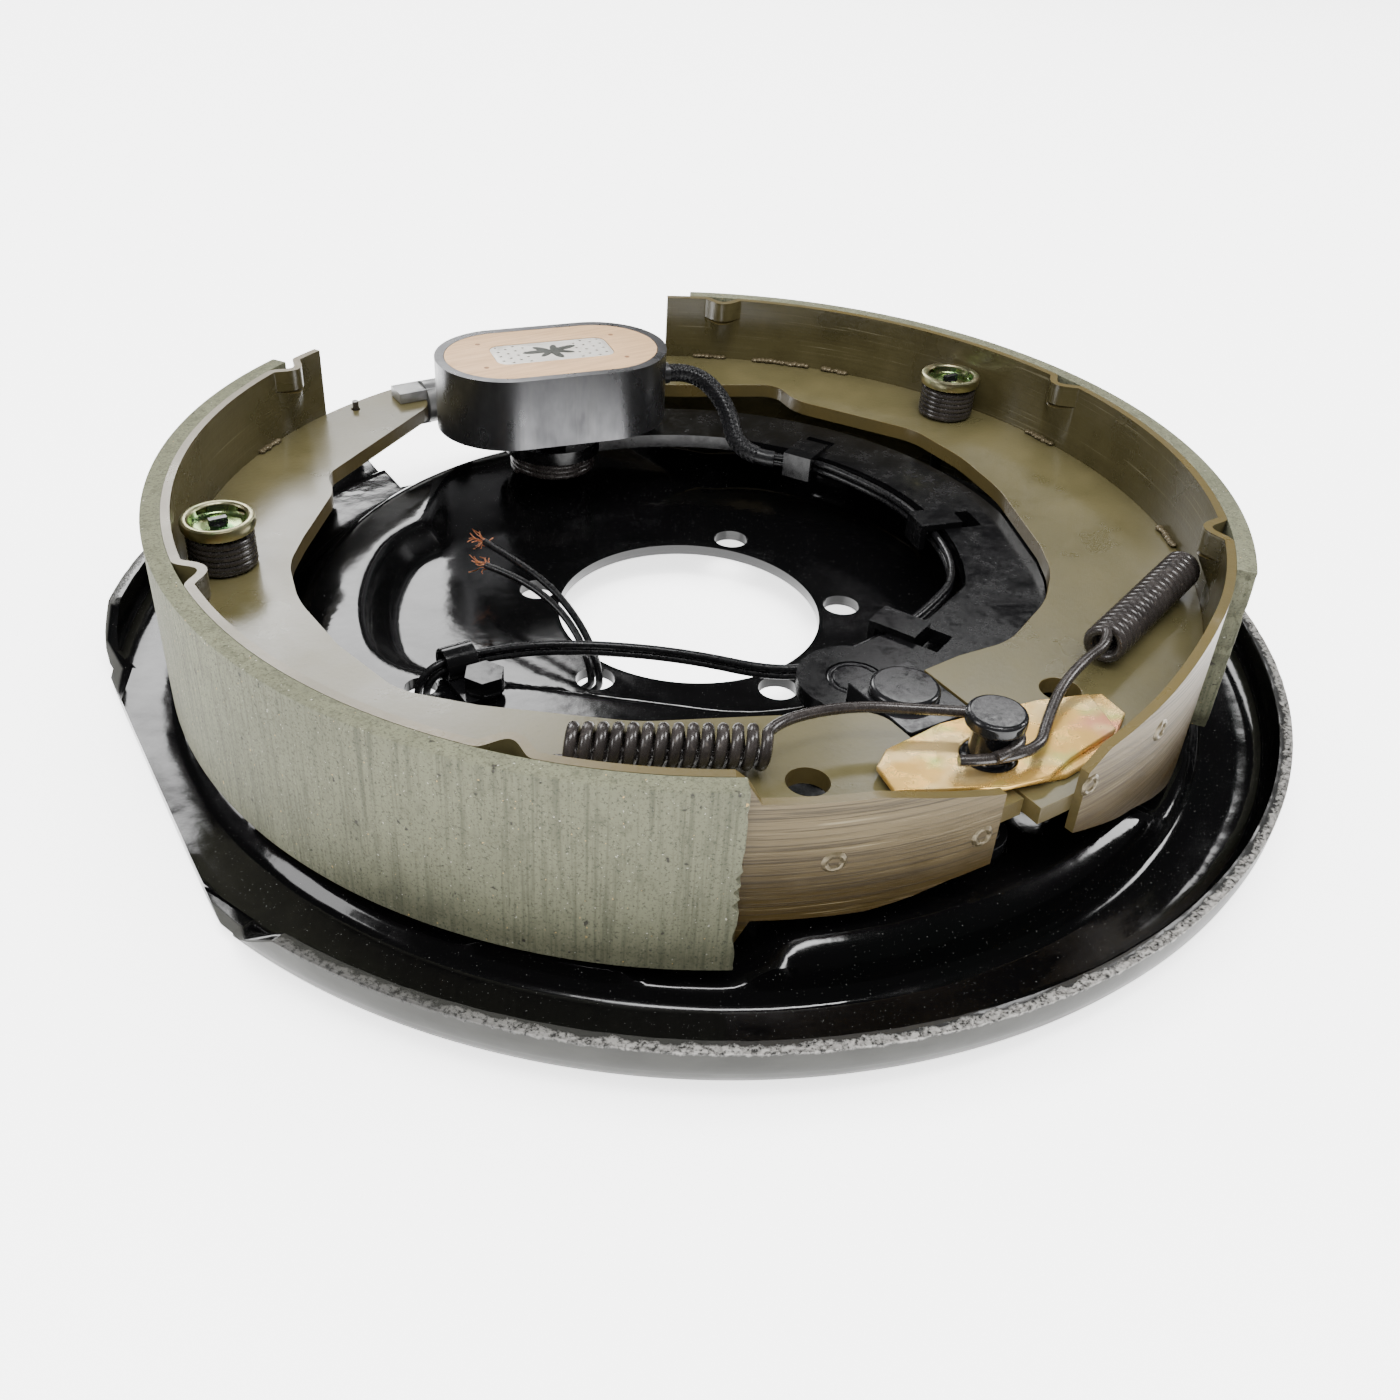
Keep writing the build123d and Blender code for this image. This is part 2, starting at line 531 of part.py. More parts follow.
# Actuating arm, block and rivet
def arm():
    inner, outer = ARM_R
    with BuildPart() as piece:
        with BuildSketch(Plane.XY.offset(ARM_Z)):
            with BuildLine():
                CenterArc((0, 0), outer, ARM_DEG[0], ARM_DEG[1] - ARM_DEG[0])
                Line(polar(outer, ARM_DEG[1]), polar(inner, ARM_DEG[1]))
                CenterArc((0, 0), inner, ARM_DEG[1], ARM_DEG[0] - ARM_DEG[1])
                Line(polar(inner, ARM_DEG[0]), polar(outer, ARM_DEG[0]))
            make_face()
            with BuildLine():
                Polyline(*ARM_NECK, close=True)
            make_face()
            for xy, radius in ((PIVOT_XY, EYE_R), (RIVET_XY, RIVET_LOBE_R), (MAGNET_XY, STUD_LOBE_R)):
                with Locations(xy):
                    Circle(radius)
            for xy, radius in ((PIVOT_XY, PIVOT_R + PIVOT_GAP), (RIVET_XY, RIVET_R), (MAGNET_XY, STUD_R + STUD_GAP)):
                with Locations(xy):
                    Circle(radius, mode=Mode.SUBTRACT)
        extrude(amount=ARM_T)
    body = piece.part
    for angle, radius in TABS:
        tip = radius - TAB_REACH
        tab = box(tip, tip + TAB_T, -TAB_W / 2, TAB_W / 2, ARM_TOP_Z - TAB_DROP, ARM_TOP_Z + TAB_T)
        tab += box(tip, radius + TAB_ROOT, -TAB_W / 2, TAB_W / 2, ARM_TOP_Z, ARM_TOP_Z + TAB_T)
        hole = box(radius + TAB_ROOT, radius + TAB_ROOT + TAB_HOLE, -TAB_W / 2, TAB_W / 2, ARM_Z - 1, ARM_TOP_Z + 1)
        body = body + Rot(0, 0, angle) * tab - Rot(0, 0, angle) * hole
    return body


def pivot_stud():
    body = turned([(0.0, RAISED_Z), (PIVOT_FOOT_R, RAISED_Z), (PIVOT_FOOT_R, ARM_Z - 0.2), (PIVOT_R, ARM_Z - 0.2),
                   (PIVOT_R, ARM_TOP_Z - 0.5), (PIVOT_R - 0.5, ARM_TOP_Z), (PIVOT_GROOVE_R + 0.5, ARM_TOP_Z),
                   (PIVOT_GROOVE_R + 0.5, ARM_TOP_Z - 0.7), (PIVOT_GROOVE_R, ARM_TOP_Z - 0.7),
                   (PIVOT_GROOVE_R, ARM_TOP_Z), (0.0, ARM_TOP_Z)], center=PIVOT_XY)
    return body


def block():
    x0, x1 = BLOCK_X
    y0, y1 = BLOCK_Y
    with BuildPart() as piece:
        with BuildSketch(Plane.XY.offset(BLOCK_Z)):
            with Locations(((x0 + x1) / 2, (y0 + y1) / 2)):
                RectangleRounded(x1 - x0, y1 - y0, BLOCK_CORNER_R)
            with Locations(RIVET_XY):
                Circle(RIVET_R + 0.1, mode=Mode.SUBTRACT)
        extrude(amount=BLOCK_T)
    return piece.part


def rivet():
    top = BLOCK_Z + BLOCK_T + 0.1
    return turned([(0.0, ARM_Z - RIVET_TAIL_H), (RIVET_R + 2.0, ARM_Z - RIVET_TAIL_H), (RIVET_R + 2.0, ARM_Z),
                   (RIVET_R, ARM_Z), (RIVET_R, top), (RIVET_HEAD_R, top),
                   (RIVET_HEAD_R, top + RIVET_HEAD_H - 0.8), (RIVET_HEAD_R - 0.8, top + RIVET_HEAD_H),
                   (0.0, top + RIVET_HEAD_H)], center=RIVET_XY)


# Magnet
def stadium(grow, z, height):
    """A round-ended bar in the magnet's place, its outline moved out by grow."""
    with BuildPart() as piece:
        with BuildSketch(Plane.XY.offset(z)):
            SlotOverall(MAGNET_L + 2 * grow, MAGNET_W + 2 * grow)
        extrude(amount=height)
    return Pos(*MAGNET_XY, 0) * Rot(0, 0, MAGNET_TURN) * piece.part


def magnet_case():
    body = stadium(0, MAGNET_Z, MAGNET_H) - stadium(-MAGNET_WALL, MAGNET_Z + MAGNET_FLOOR, MAGNET_H)
    gland = Plane(origin=(-MAGNET_L / 2 + 3, 0, GLAND_Z), z_dir=(-1, 0, 0)).location * Cylinder(
        GLAND_R, GLAND_REACH + 3, align=(Align.CENTER, Align.CENTER, Align.MIN))
    gland = Pos(*MAGNET_XY, 0) * Rot(0, 0, MAGNET_TURN) * gland
    body += gland - stadium(-MAGNET_WALL, MAGNET_Z, MAGNET_H)
    return body - cylinder(MAGNET_XY, MAGNET_Z - 1, STUD_R, MAGNET_FLOOR + 2)


def magnet_stud():
    return turned([(0.0, MSPRING_Z - STUD_HEAD_H), (STUD_HEAD_R, MSPRING_Z - STUD_HEAD_H), (STUD_HEAD_R, MSPRING_Z),
                   (STUD_R, MSPRING_Z), (STUD_R, MAGNET_Z + MAGNET_FLOOR + STUD_IN_CORE),
                   (0.0, MAGNET_Z + MAGNET_FLOOR + STUD_IN_CORE)], center=MAGNET_XY)


def magnet_core():
    body = stadium(-MAGNET_WALL - RING_IN, MAGNET_Z + MAGNET_FLOOR, MAGNET_H - MAGNET_FLOOR)
    body -= cylinder(MAGNET_XY, MAGNET_Z, STUD_R, MAGNET_FLOOR + STUD_IN_CORE)
    return body - cylinder(MAGNET_XY, MAGNET_Z + MAGNET_H - CLIP_SINK, STAR_CLIP_R + 1.0, 5)


def magnet_coil():
    z = MAGNET_Z + MAGNET_FLOOR + COIL_GAP
    height = MAGNET_H - MAGNET_FLOOR - RING_H - 2 * COIL_GAP
    return stadium(-MAGNET_WALL - COIL_GAP, z, height) - stadium(-MAGNET_WALL - RING_IN + COIL_GAP, z, height)


def magnet_face():
    z = MAGNET_Z + MAGNET_H - RING_H
    return stadium(-MAGNET_WALL, z, RING_H) - stadium(-MAGNET_WALL - RING_IN, z, RING_H)


def star_clip():
    z = MAGNET_Z + MAGNET_H - CLIP_SINK
    body = cylinder(MAGNET_XY, z, STAR_CLIP_R * 0.5, CLIP_T)
    for i in range(3):
        arm_piece = Pos(0, 0, z + CLIP_T / 2) * Rot(0, 0, MAGNET_TURN + 60 * i) * Box(2 * STAR_CLIP_R, 2.0, CLIP_T)
        body += Pos(*MAGNET_XY, 0) * arm_piece
    return body


def magnet_spring():
    body = ridged_tube(ARM_Z - MSPRING_Z - 0.2, MSPRING_R, MSPRING_WIRE_R, MSPRING_TURNS)
    washer = turned([(STUD_R + 0.3, 0.0), (MSPRING_R - MSPRING_WIRE_R, 0.0), (MSPRING_R - MSPRING_WIRE_R, 1.0),
                     (STUD_R + 0.3, 1.0)])
    return Pos(*MAGNET_XY, MSPRING_Z) * (body + washer)


# Hold-downs
def hold_pin(side):
    foot = SHELF_Z - SHEET
    body = turned([(0.0, foot - HOLD_HEAD_H), (HOLD_HEAD_R, foot - HOLD_HEAD_H), (HOLD_HEAD_R, foot),
                   (HOLD_PIN_R, foot), (HOLD_PIN_R, CUP_FLOOR_Z + CUP_WALL + 0.1), (0.0, CUP_FLOOR_Z + CUP_WALL + 0.1)])
    body += Pos(0, 0, CUP_FLOOR_Z + CUP_WALL + 1.0) * Box(CUP_SLOT[0], CUP_SLOT[1], 1.8)
    return Pos(*HOLD_XY[side], 0) * body


def hold_cup(side):
    rim = CUP_FLOOR_Z + CUP_H
    body = turned([(HOLD_PIN_R + 0.1, CUP_FLOOR_Z), (CUP_R, CUP_FLOOR_Z), (CUP_R, rim), (CUP_R - 2.0, rim),
                   (CUP_R - 2.0 - CUP_WALL, rim - 0.8), (CUP_R - 2.0 - CUP_WALL, CUP_FLOOR_Z + CUP_WALL),
                   (HOLD_PIN_R + 0.1, CUP_FLOOR_Z + CUP_WALL)])
    return Pos(*HOLD_XY[side], 0) * body


def hold_spring(side):
    length = CUP_FLOOR_Z - WEB_TOP_Z - HOLD_GAP
    return Pos(*HOLD_XY[side], WEB_TOP_Z + HOLD_GAP) * ridged_tube(length, HOLD_SPRING_R, HOLD_WIRE_R, HOLD_TURNS)


# Return springs and adjuster spring
def coil_spring(start, end, turns, hooks, radius, wire_r, bends, name):
    """A coil between two points with its wire ends."""
    length = (Vector(*end) - Vector(*start)).length
    body = along(ridged_tube(length, radius, wire_r, turns), start, end)
    for hook, bend in zip(hooks, bends):
        body += wire(hook, wire_r, bend, name)
    return body


# Adjuster
def rod(x0, x1, radius):
    return Pos(x0, ADJ_Y, ADJ_Z) * Rot(0, 90, 0) * Cylinder(
        radius, x1 - x0, align=(Align.CENTER, Align.CENTER, Align.MIN))


def adjuster_socket():
    body = rod(SOCKET_X[0], SOCKET_X[1], ADJ_BODY_R) - rod(SOCKET_X[0] - 1, PILOT_X + 1, ADJ_STUD_R + ADJ_GAP)
    tines = box(SOCKET_X[1] - 1, SOCKET_X[1] + FORK_LEN, ADJ_Y - FORK_W / 2, ADJ_Y + FORK_W / 2,
                ADJ_Z - FORK_H / 2, ADJ_Z + FORK_H / 2)
    slot = WEB_T + 2 * FORK_GAP
    return body + (tines - box(SOCKET_X[1], 90, ADJ_Y - 20, ADJ_Y + 20, ADJ_Z - slot / 2, ADJ_Z + slot / 2))


def adjuster_nut():
    body = rod(NUT_X[0], NUT_X[1], ADJ_BODY_R) - rod(NUT_X[0] + 12, NUT_X[1] + 1, ADJ_STUD_R + ADJ_GAP)
    tines = box(NUT_X[0] - FORK_LEN, NUT_X[0] + 1, ADJ_Y - FORK_W / 2, ADJ_Y + FORK_W / 2,
                ADJ_Z - FORK_H / 2, ADJ_Z + FORK_H / 2)
    slot = WEB_T + 2 * FORK_GAP
    return body + (tines - box(-90, NUT_X[0], ADJ_Y - 20, ADJ_Y + 20, ADJ_Z - slot / 2, ADJ_Z + slot / 2))


def star_wheel():
    body = rod(STUD_X[0], PILOT_X, ADJ_STUD_R) + rod(STAR_X[0], STAR_X[1], STAR_ROOT_R)
    tooth = Box(STAR_R, STAR_TOOTH_W, STAR_X[1] - STAR_X[0], align=(Align.MIN, Align.CENTER, Align.MIN))
    for i in range(STAR_TEETH):
        body += Pos(STAR_X[0], ADJ_Y, ADJ_Z) * Rot(0, 90, 0) * Rot(0, 0, 360 * i / STAR_TEETH) * tooth
    return body


# Cable clip and screw
def cable_clip():
    x, y = CLIP_XY
    half = CLIP_BAND_W / 2
    loop = Pos(x - half, y, CLIP_LOOP_Z) * Rot(0, 90, 0) * Cylinder(
        CLIP_LOOP_R, CLIP_BAND_W, align=(Align.CENTER, Align.CENTER, Align.MIN))
    eye = Pos(x - half - 1, y, CLIP_LOOP_Z) * Rot(0, 90, 0) * Cylinder(
        CLIP_LOOP_R - CLIP_BAND_T, CLIP_BAND_W + 2, align=(Align.CENTER, Align.CENTER, Align.MIN))
    foot = box(x - half, x + half, y + CLIP_LOOP_R - 2, SCREW_XY[1] + CLIP_BAND_W / 2, RAISED_Z, RAISED_Z + 2 * CLIP_BAND_T)
    return loop + foot - eye - cylinder(SCREW_XY, 0, SCREW_R + 0.2, DEEP)


def clip_screw():
    top = RAISED_Z + 2 * CLIP_BAND_T
    with BuildPart() as piece:
        with BuildSketch(Plane.XY.offset(top)):
            with Locations(SCREW_XY):
                RegularPolygon(SCREW_HEX / 2, 6, major_radius=False)
        extrude(amount=SCREW_HEAD_H)
    body = piece.part + cylinder(SCREW_XY, top, SCREW_HEX / 2 + 0.6, 1.0)
    return body + cylinder(SCREW_XY, RAISED_Z - SHEET - 3, SCREW_R, SHEET + 3 + 2 * CLIP_BAND_T)


def raise_by(points, amount):
    return [(x, y, z + amount) for x, y, z in points]


def cord(points, diameter, name):
    return wire(points, diameter / 2, soft_bends(points), name)


def build():
    nodes = {}
    nodes["backing_plate"] = backing_plate()
    nodes["anchor_post"] = anchor_post()
    nodes["guide_plate_lower"] = guide_plate(GUIDE_LOWER, GUIDE_Z)
    nodes["guide_plate_upper"] = guide_plate(GUIDE_UPPER, GUIDE_Z + GUIDE_T)
    nodes["primary_table"] = shoe_table(PRIMARY_C, PRIMARY_TABLE_DEG, PRIMARY_CRIMP_DEG, PRIMARY_NECK, NECK_DEG, 1)
    nodes["secondary_table"] = shoe_table(SECONDARY_C, SECONDARY_TABLE_DEG, SECONDARY_CRIMP_DEG, SECONDARY_NECK,
                                          180 - NECK_DEG, -1)
    nodes["primary_web"] = shoe_web(PRIMARY_C, PRIMARY_EDGE, 1, PRIMARY_HOOK_XY)
    nodes["secondary_web"] = shoe_web(SECONDARY_C, SECONDARY_EDGE, -1, SECONDARY_HOOK_XY)
    nodes["primary_lining"] = lining(PRIMARY_C, PRIMARY_LINING_DEG)
    nodes["secondary_lining"] = lining(SECONDARY_C, SECONDARY_LINING_DEG)
    nodes["pivot_stud"] = pivot_stud()
    nodes["actuating_arm"] = arm()
    nodes["actuating_block"] = block()
    nodes["block_rivet"] = rivet()
    nodes["magnet_case"] = magnet_case()
    nodes["magnet_core"] = magnet_core()
    nodes["magnet_coil"] = magnet_coil()
    nodes["magnet_face"] = magnet_face()
    nodes["magnet_clip"] = star_clip()
    nodes["magnet_stud"] = magnet_stud()
    nodes["magnet_spring"] = magnet_spring()
    for side, name in ((1, "primary"), (-1, "secondary")):
        nodes[name + "_hold_pin"] = hold_pin(side)
        nodes[name + "_hold_cup"] = hold_cup(side)
        nodes[name + "_hold_spring"] = hold_spring(side)
    nodes["primary_return_spring"] = coil_spring(
        PRIMARY_COIL[0], PRIMARY_COIL[1], PRIMARY_TURNS, PRIMARY_HOOKS, SPRING_R, WIRE_R, PRIMARY_BENDS,
        "primary return spring")
    nodes["secondary_return_spring"] = coil_spring(
        SECONDARY_COIL[0], SECONDARY_COIL[1], SECONDARY_TURNS, SECONDARY_HOOKS, SPRING_R, WIRE_R, SECONDARY_BENDS,
        "secondary return spring")
    nodes["adjuster_spring"] = coil_spring(
        ADJ_COIL[0], ADJ_COIL[1], ADJ_TURNS, ADJ_HOOKS, ADJ_COIL_R, ADJ_WIRE_R, ADJ_BENDS, "adjuster spring")
    nodes["adjuster_socket"] = adjuster_socket()
    nodes["adjuster_nut"] = adjuster_nut()
    nodes["star_wheel"] = star_wheel()
    nodes["cable_clip"] = cable_clip()
    nodes["clip_screw"] = clip_screw()
    nodes["lead_sleeve"] = cord(SLEEVE_PATH, SLEEVE_D, "lead sleeve")
    nodes["arm_lead_upper"] = cord(raise_by(ARM_LEAD_PATH, LEAD_OFFSET), LEAD_D, "arm lead upper")
    nodes["arm_lead_lower"] = cord(raise_by(ARM_LEAD_PATH, -LEAD_OFFSET), LEAD_D, "arm lead lower")
    nodes["lead_upper"] = cord(LEAD_UPPER_PATH, LEAD_D, "lead upper")
    nodes["lead_lower"] = cord(LEAD_LOWER_PATH, LEAD_D, "lead lower")
    return nodes


os.makedirs("parts", exist_ok=True)
for label, piece in build().items():
    piece.label = label
    export_step(piece, "parts/" + label + ".step")
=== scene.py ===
"""Looks of an electric trailer drum brake lying on its backing plate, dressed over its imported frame."""

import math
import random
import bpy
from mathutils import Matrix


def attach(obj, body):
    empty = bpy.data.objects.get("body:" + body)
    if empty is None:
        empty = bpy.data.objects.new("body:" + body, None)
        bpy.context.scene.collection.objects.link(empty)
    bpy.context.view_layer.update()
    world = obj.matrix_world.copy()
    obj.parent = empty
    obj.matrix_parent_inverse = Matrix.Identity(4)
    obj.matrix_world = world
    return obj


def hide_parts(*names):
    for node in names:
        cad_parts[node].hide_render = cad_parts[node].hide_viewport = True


bl_info = {
    "name": "Trailer drum brake",
    "version": (1, 0, 0),
    "blender": (4, 5, 0),
    "location": "View3D > Sidebar > Brake",
    "description": "Builds the visible pieces of an electric trailer drum brake over its CAD frame",
    "category": "Object",
}

import bmesh
import bpy
from mathutils import Matrix, Vector, noise

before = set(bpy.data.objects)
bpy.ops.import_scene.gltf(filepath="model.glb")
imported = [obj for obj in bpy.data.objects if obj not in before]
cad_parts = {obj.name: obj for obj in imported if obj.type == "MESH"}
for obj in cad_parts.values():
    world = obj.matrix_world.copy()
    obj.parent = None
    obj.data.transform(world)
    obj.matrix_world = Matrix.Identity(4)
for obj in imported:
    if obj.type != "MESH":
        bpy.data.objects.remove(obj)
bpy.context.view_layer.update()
MM = 0.001

# Frame: z = 0 is the mounting face of the hub flange, +Y points to the anchor post,
# the primary shoe is on +X; lists of points below are in mm
SHOES = {
    "primary": {
        "centre": (2.6, -2.5), "table": (-62.5, 87.7), "lining": (-57.0, 63.2), "crimps": (-56.0, -0.5, 43.3),
        "neck_at": 75.0, "turn": 1, "hold": (128.9, -44.1), "marks": ((71.4, 28.3), (85.9, 26.3)),
        "seams": ((-52.0, 7), (-30.0, 9), (20.0, 8)),
        "low": ((-30, 0), (-28, 9.9), (0, 9.2), (10.7, 10.7), (19.7, 12.7), (31, 13.6), (40, 13.6)),
        "high": ((-30, 0), (-28, 7.6), (-0.5, 8.5), (6, 9.9), (31.8, 16.4), (40, 16.4)),
    },
    "secondary": {
        "centre": (-2.0, 2.0), "table": (94.0, 243.5), "lining": (128.3, 240.0), "crimps": (137.6, 180.2, 235.1),
        "neck_at": 105.0, "turn": -1, "hold": (-129.4, -35.6), "marks": ((94.6, 34.0), (105.4, 37.0)),
        "seams": ((234.5, 8), (221.5, 14), (215.5, 6), (180.0, 8), (150.0, 8)),
        "low": ((-30, 0), (0, 11), (9, 12.6), (31, 18.5), (40, 18.5)),
        "high": ((-30, 0), (0, 6.8), (21.9, 10.7), (28, 15.5), (40, 15.5)),
    },
}
SLEEVE_PATH = ((-41.418, -84.692, 43), (-51.5, -82.73, 43), (-55, -66, 36), (-52.5, -54, 22.2), (-62, -45.18, 22.2))
ARM_LEAD_PATH = ((-62, -45.18, 22.2), (-66.4, -41.1, 22.2), (-74.5, -31, 22.2), (-81.5, 7.1, 22.2), (-67, 46.9, 22.2),
                 (-40, 60, 22.2), (-27.5, 63.1, 22), (-12, 62.8, 19), (-4, 60.5, 16.6))
LEAD_UPPER_PATH = ((-4, 60.5, 17.8), (4, 58.2, 15.4), (25, 33.5, 15.1), (52, 16, 15.7), (73, 12, 17.6),
                   (95.2, 11.8, 17.6), (95.2, 11.8, -3.9), (43.1, 20.4, -3.9), (43.1, 20.4, 7), (41.5, 8, 12.5),
                   (42, -8, 16.5), (45.5, -26, 18.5), (49, -44, 17.5))
LEAD_LOWER_PATH = ((-4, 60.5, 15.4), (4, 58.2, 13), (25, 33.5, 12.7), (52, 16, 13.3), (73, 12, 15.2),
                   (92.8, 11.9, 15.2), (92.8, 11.9, -1.5), (45.5, 19.9, -1.5), (45.5, 19.9, 7), (44.5, 10, 12.5),
                   (45.5, -2, 16.5), (50, -18, 18.8), (55.5, -29, 18.5))
PRIMARY_COIL = ((46.4, 105.0, 37.2), (86.9, 82.8, 37.2))
SECONDARY_COIL = ((-56.0, 110.2, 37.2), (-107.5, 91.4, 37.2))
PRIMARY_HOOK = ((4, 134.6, 39.2), (-7.6, 134.6, 39.2), (-7.6, 121.4, 39.2), (8, 111.5, 39.2), (22, 103.8, 40),
                (41, 101.8, 41.2), (46.4, 105, 41.4))
PRIMARY_TAIL = ((86.9, 82.8, 33), (94.5, 78.6, 33), (94.5, 78.6, 23.6))
SECONDARY_HOOK = ((11.3, 130.6, 38.2), (4, 134.4, 38.2), (-9, 135.6, 38), (-15.8, 130.2, 38.3), (-30, 120.6, 38.8),
                  (-43, 115.8, 40.2), (-52, 114.5, 41.3), (-56, 110.2, 41.4))
SECONDARY_TAIL = ((-107.5, 91.4, 33), (-113, 87, 33), (-113, 87, 23.6))
# Middle, height and turn in degrees of the magnet's face
MAGNET_SPOT, MAGNET_TOP, MAGNET_TURN = (0.3, -92.8), 55.2, -11.0
FLOOR_LEVEL = -9.05

# Backing plate: heights of its upper face, outer radius of the raised ring, radius of the hub hole, the lip's (r, z)
RING_TOP, DISH_TOP, SHELF_TOP = 11.4, 3.4, -2.0
RING_END, HUB_HOLE = 115.0, 40.7
LIP_LINE = ((151.6, -2.3), (152.6, -3.2), (153.6, -4.4), (154.6, -5.3), (156.0, -5.6), (160.0, -5.6), (164.5, -5.6),
            (166.6, -5.5), (168.6, -5.0), (170.4, -4.0), (171.8, -2.6), (172.7, -0.8), (173.2, 1.4), (173.3, 3.6),
            (173.3, 5.4), (173.3, 6.4))
# Shoe tables and linings: outer radii and the heights of their edges
TABLE_RADIUS, TABLE_LOW, TABLE_HIGH = 146.3, 2.6, 53.4
LINING_RADIUS, LINING_WALL = 151.6, 5.3


class BrakeSizes(bpy.types.PropertyGroup):
    """Sizes that someone would change on the dressed brake."""

    wire: bpy.props.FloatProperty(name="Spring wire", description="Radius of the return springs' wire",
                                  default=1.4 * MM, unit="LENGTH")
    coil: bpy.props.FloatProperty(name="Spring coil", description="Outer radius of the return springs",
                                  default=5.6 * MM, unit="LENGTH")
    hold_coil: bpy.props.FloatProperty(name="Hold-down coil", description="Outer radius of the hold-down springs",
                                       default=9.5 * MM, unit="LENGTH")
    sheet: bpy.props.FloatProperty(name="Plate sheet", description="Thickness of the backing plate's steel",
                                   default=3.4 * MM, unit="LENGTH")
    table: bpy.props.FloatProperty(name="Table sheet", description="Thickness of the shoe tables",
                                   default=2.4 * MM, unit="LENGTH")
    lead: bpy.props.FloatProperty(name="Lead", description="Diameter of one lead", default=2.2 * MM, unit="LENGTH")
    sleeve: bpy.props.FloatProperty(name="Sleeve", description="Diameter of the braided sleeve",
                                    default=5.6 * MM, unit="LENGTH")


def colour(name, text, value):
    return bpy.props.FloatVectorProperty(name=name, description=text, subtype="COLOR", size=3, min=0, max=1,
                                         default=value)


class BrakeColours(bpy.types.PropertyGroup):
    """Colours of the brake's finishes."""

    paint: colour("Plate paint", "Gloss black of the backing plate", (0.0012, 0.0012, 0.0013))
    olive: colour("Shoe paint", "Olive of the shoe webs and tables", (0.052, 0.045, 0.0195))
    # The gold brown on the shoes' edges is a painted highlight along them
    gold: colour("Shoe edges", "Gold brown of the shoe's worn edges", (0.075, 0.056, 0.02))
    lining: colour("Lining", "Grey beige of the friction lining", (0.103, 0.105, 0.067))
    zinc: colour("Guide plates", "Gold zinc of the guide plates", (0.70, 0.43, 0.12))
    steel: colour("Bare steel", "Turned steel of the magnet case", (0.17, 0.17, 0.175))
    ring: colour("Friction ring", "Beige of the magnet's face", (0.45, 0.285, 0.15))
    wire: colour("Spring wire", "Dark brown of the springs", (0.02, 0.017, 0.016))
    floor: colour("Floor", "Pale studio floor", (0.9, 0.9, 0.9))


def sizes():
    return bpy.context.scene.brake_sizes


def colours():
    return bpy.context.scene.brake_colours


# Materials
def node(tree, kind, values=None, **settings):
    made = tree.nodes.new(kind)
    for key, value in settings.items():
        setattr(made, key, value)
    for key, value in (values or {}).items():
        if isinstance(value, bpy.types.NodeSocket):
            tree.links.new(value, made.inputs[key])
        else:
            made.inputs[key].default_value = value
    return made


def new_finish(name, **sockets):
    """A material with its Principled shader, single values set on its own sockets."""
    mat = bpy.data.materials.new(name)
    mat.use_nodes = True
    tree = mat.node_tree
    tree.nodes.clear()
    skin = node(tree, "ShaderNodeBsdfPrincipled")
    out = node(tree, "ShaderNodeOutputMaterial")
    tree.links.new(skin.outputs[0], out.inputs[0])
    for key, value in sockets.items():
        skin.inputs[key.replace("_", " ")].default_value = value
    return mat, tree, skin


def cloud(tree, scale, detail=4.0, rough=0.55, stretch=(1, 1, 1), turn=0.0):
    """Noise on a piece's own coordinates, stretched and turned where asked."""
    where = node(tree, "ShaderNodeTexCoord").outputs["Object"]
    where = node(tree, "ShaderNodeMapping", {0: where, 2: (0, 0, -turn), 3: stretch}).outputs[0]
    return node(tree, "ShaderNodeTexNoise", {"Vector": where, "Scale": scale, "Detail": detail,
                                             "Roughness": rough}).outputs["Fac"]


def steps(tree, value, low, high, to_low=0.0, to_high=1.0):
    return node(tree, "ShaderNodeMapRange", {0: value, 1: low, 2: high, 3: to_low, 4: to_high}).outputs[0]


def blend_colour(tree, amount, first, second):
    first, second = (c if isinstance(c, bpy.types.NodeSocket) else (*c[:3], 1.0) for c in (first, second))
    return node(tree, "ShaderNodeMix", {0: amount, 6: first, 7: second}, data_type="RGBA").outputs[2]


def calc(tree, how, first, second):
    return node(tree, "ShaderNodeMath", {0: first, 1: second}, operation=how).outputs[0]


def shaded(tone, share, lift=0.0):
    return tuple(min(1.0, c * share + lift) for c in tone)


def join(tree, source, skin, socket):
    tree.links.new(source, skin.inputs[socket])


def dressed(mat, skin, base, rough, height, depth):
    """The material with its colour, roughness and bump joined to its shader."""
    tree = mat.node_tree
    join(tree, base, skin, "Base Color")
    join(tree, rough, skin, "Roughness")
    join(tree, node(tree, "ShaderNodeBump", {"Height": height, "Distance": depth, "Strength": 1.0}).outputs[0], skin,
         "Normal")
    return mat


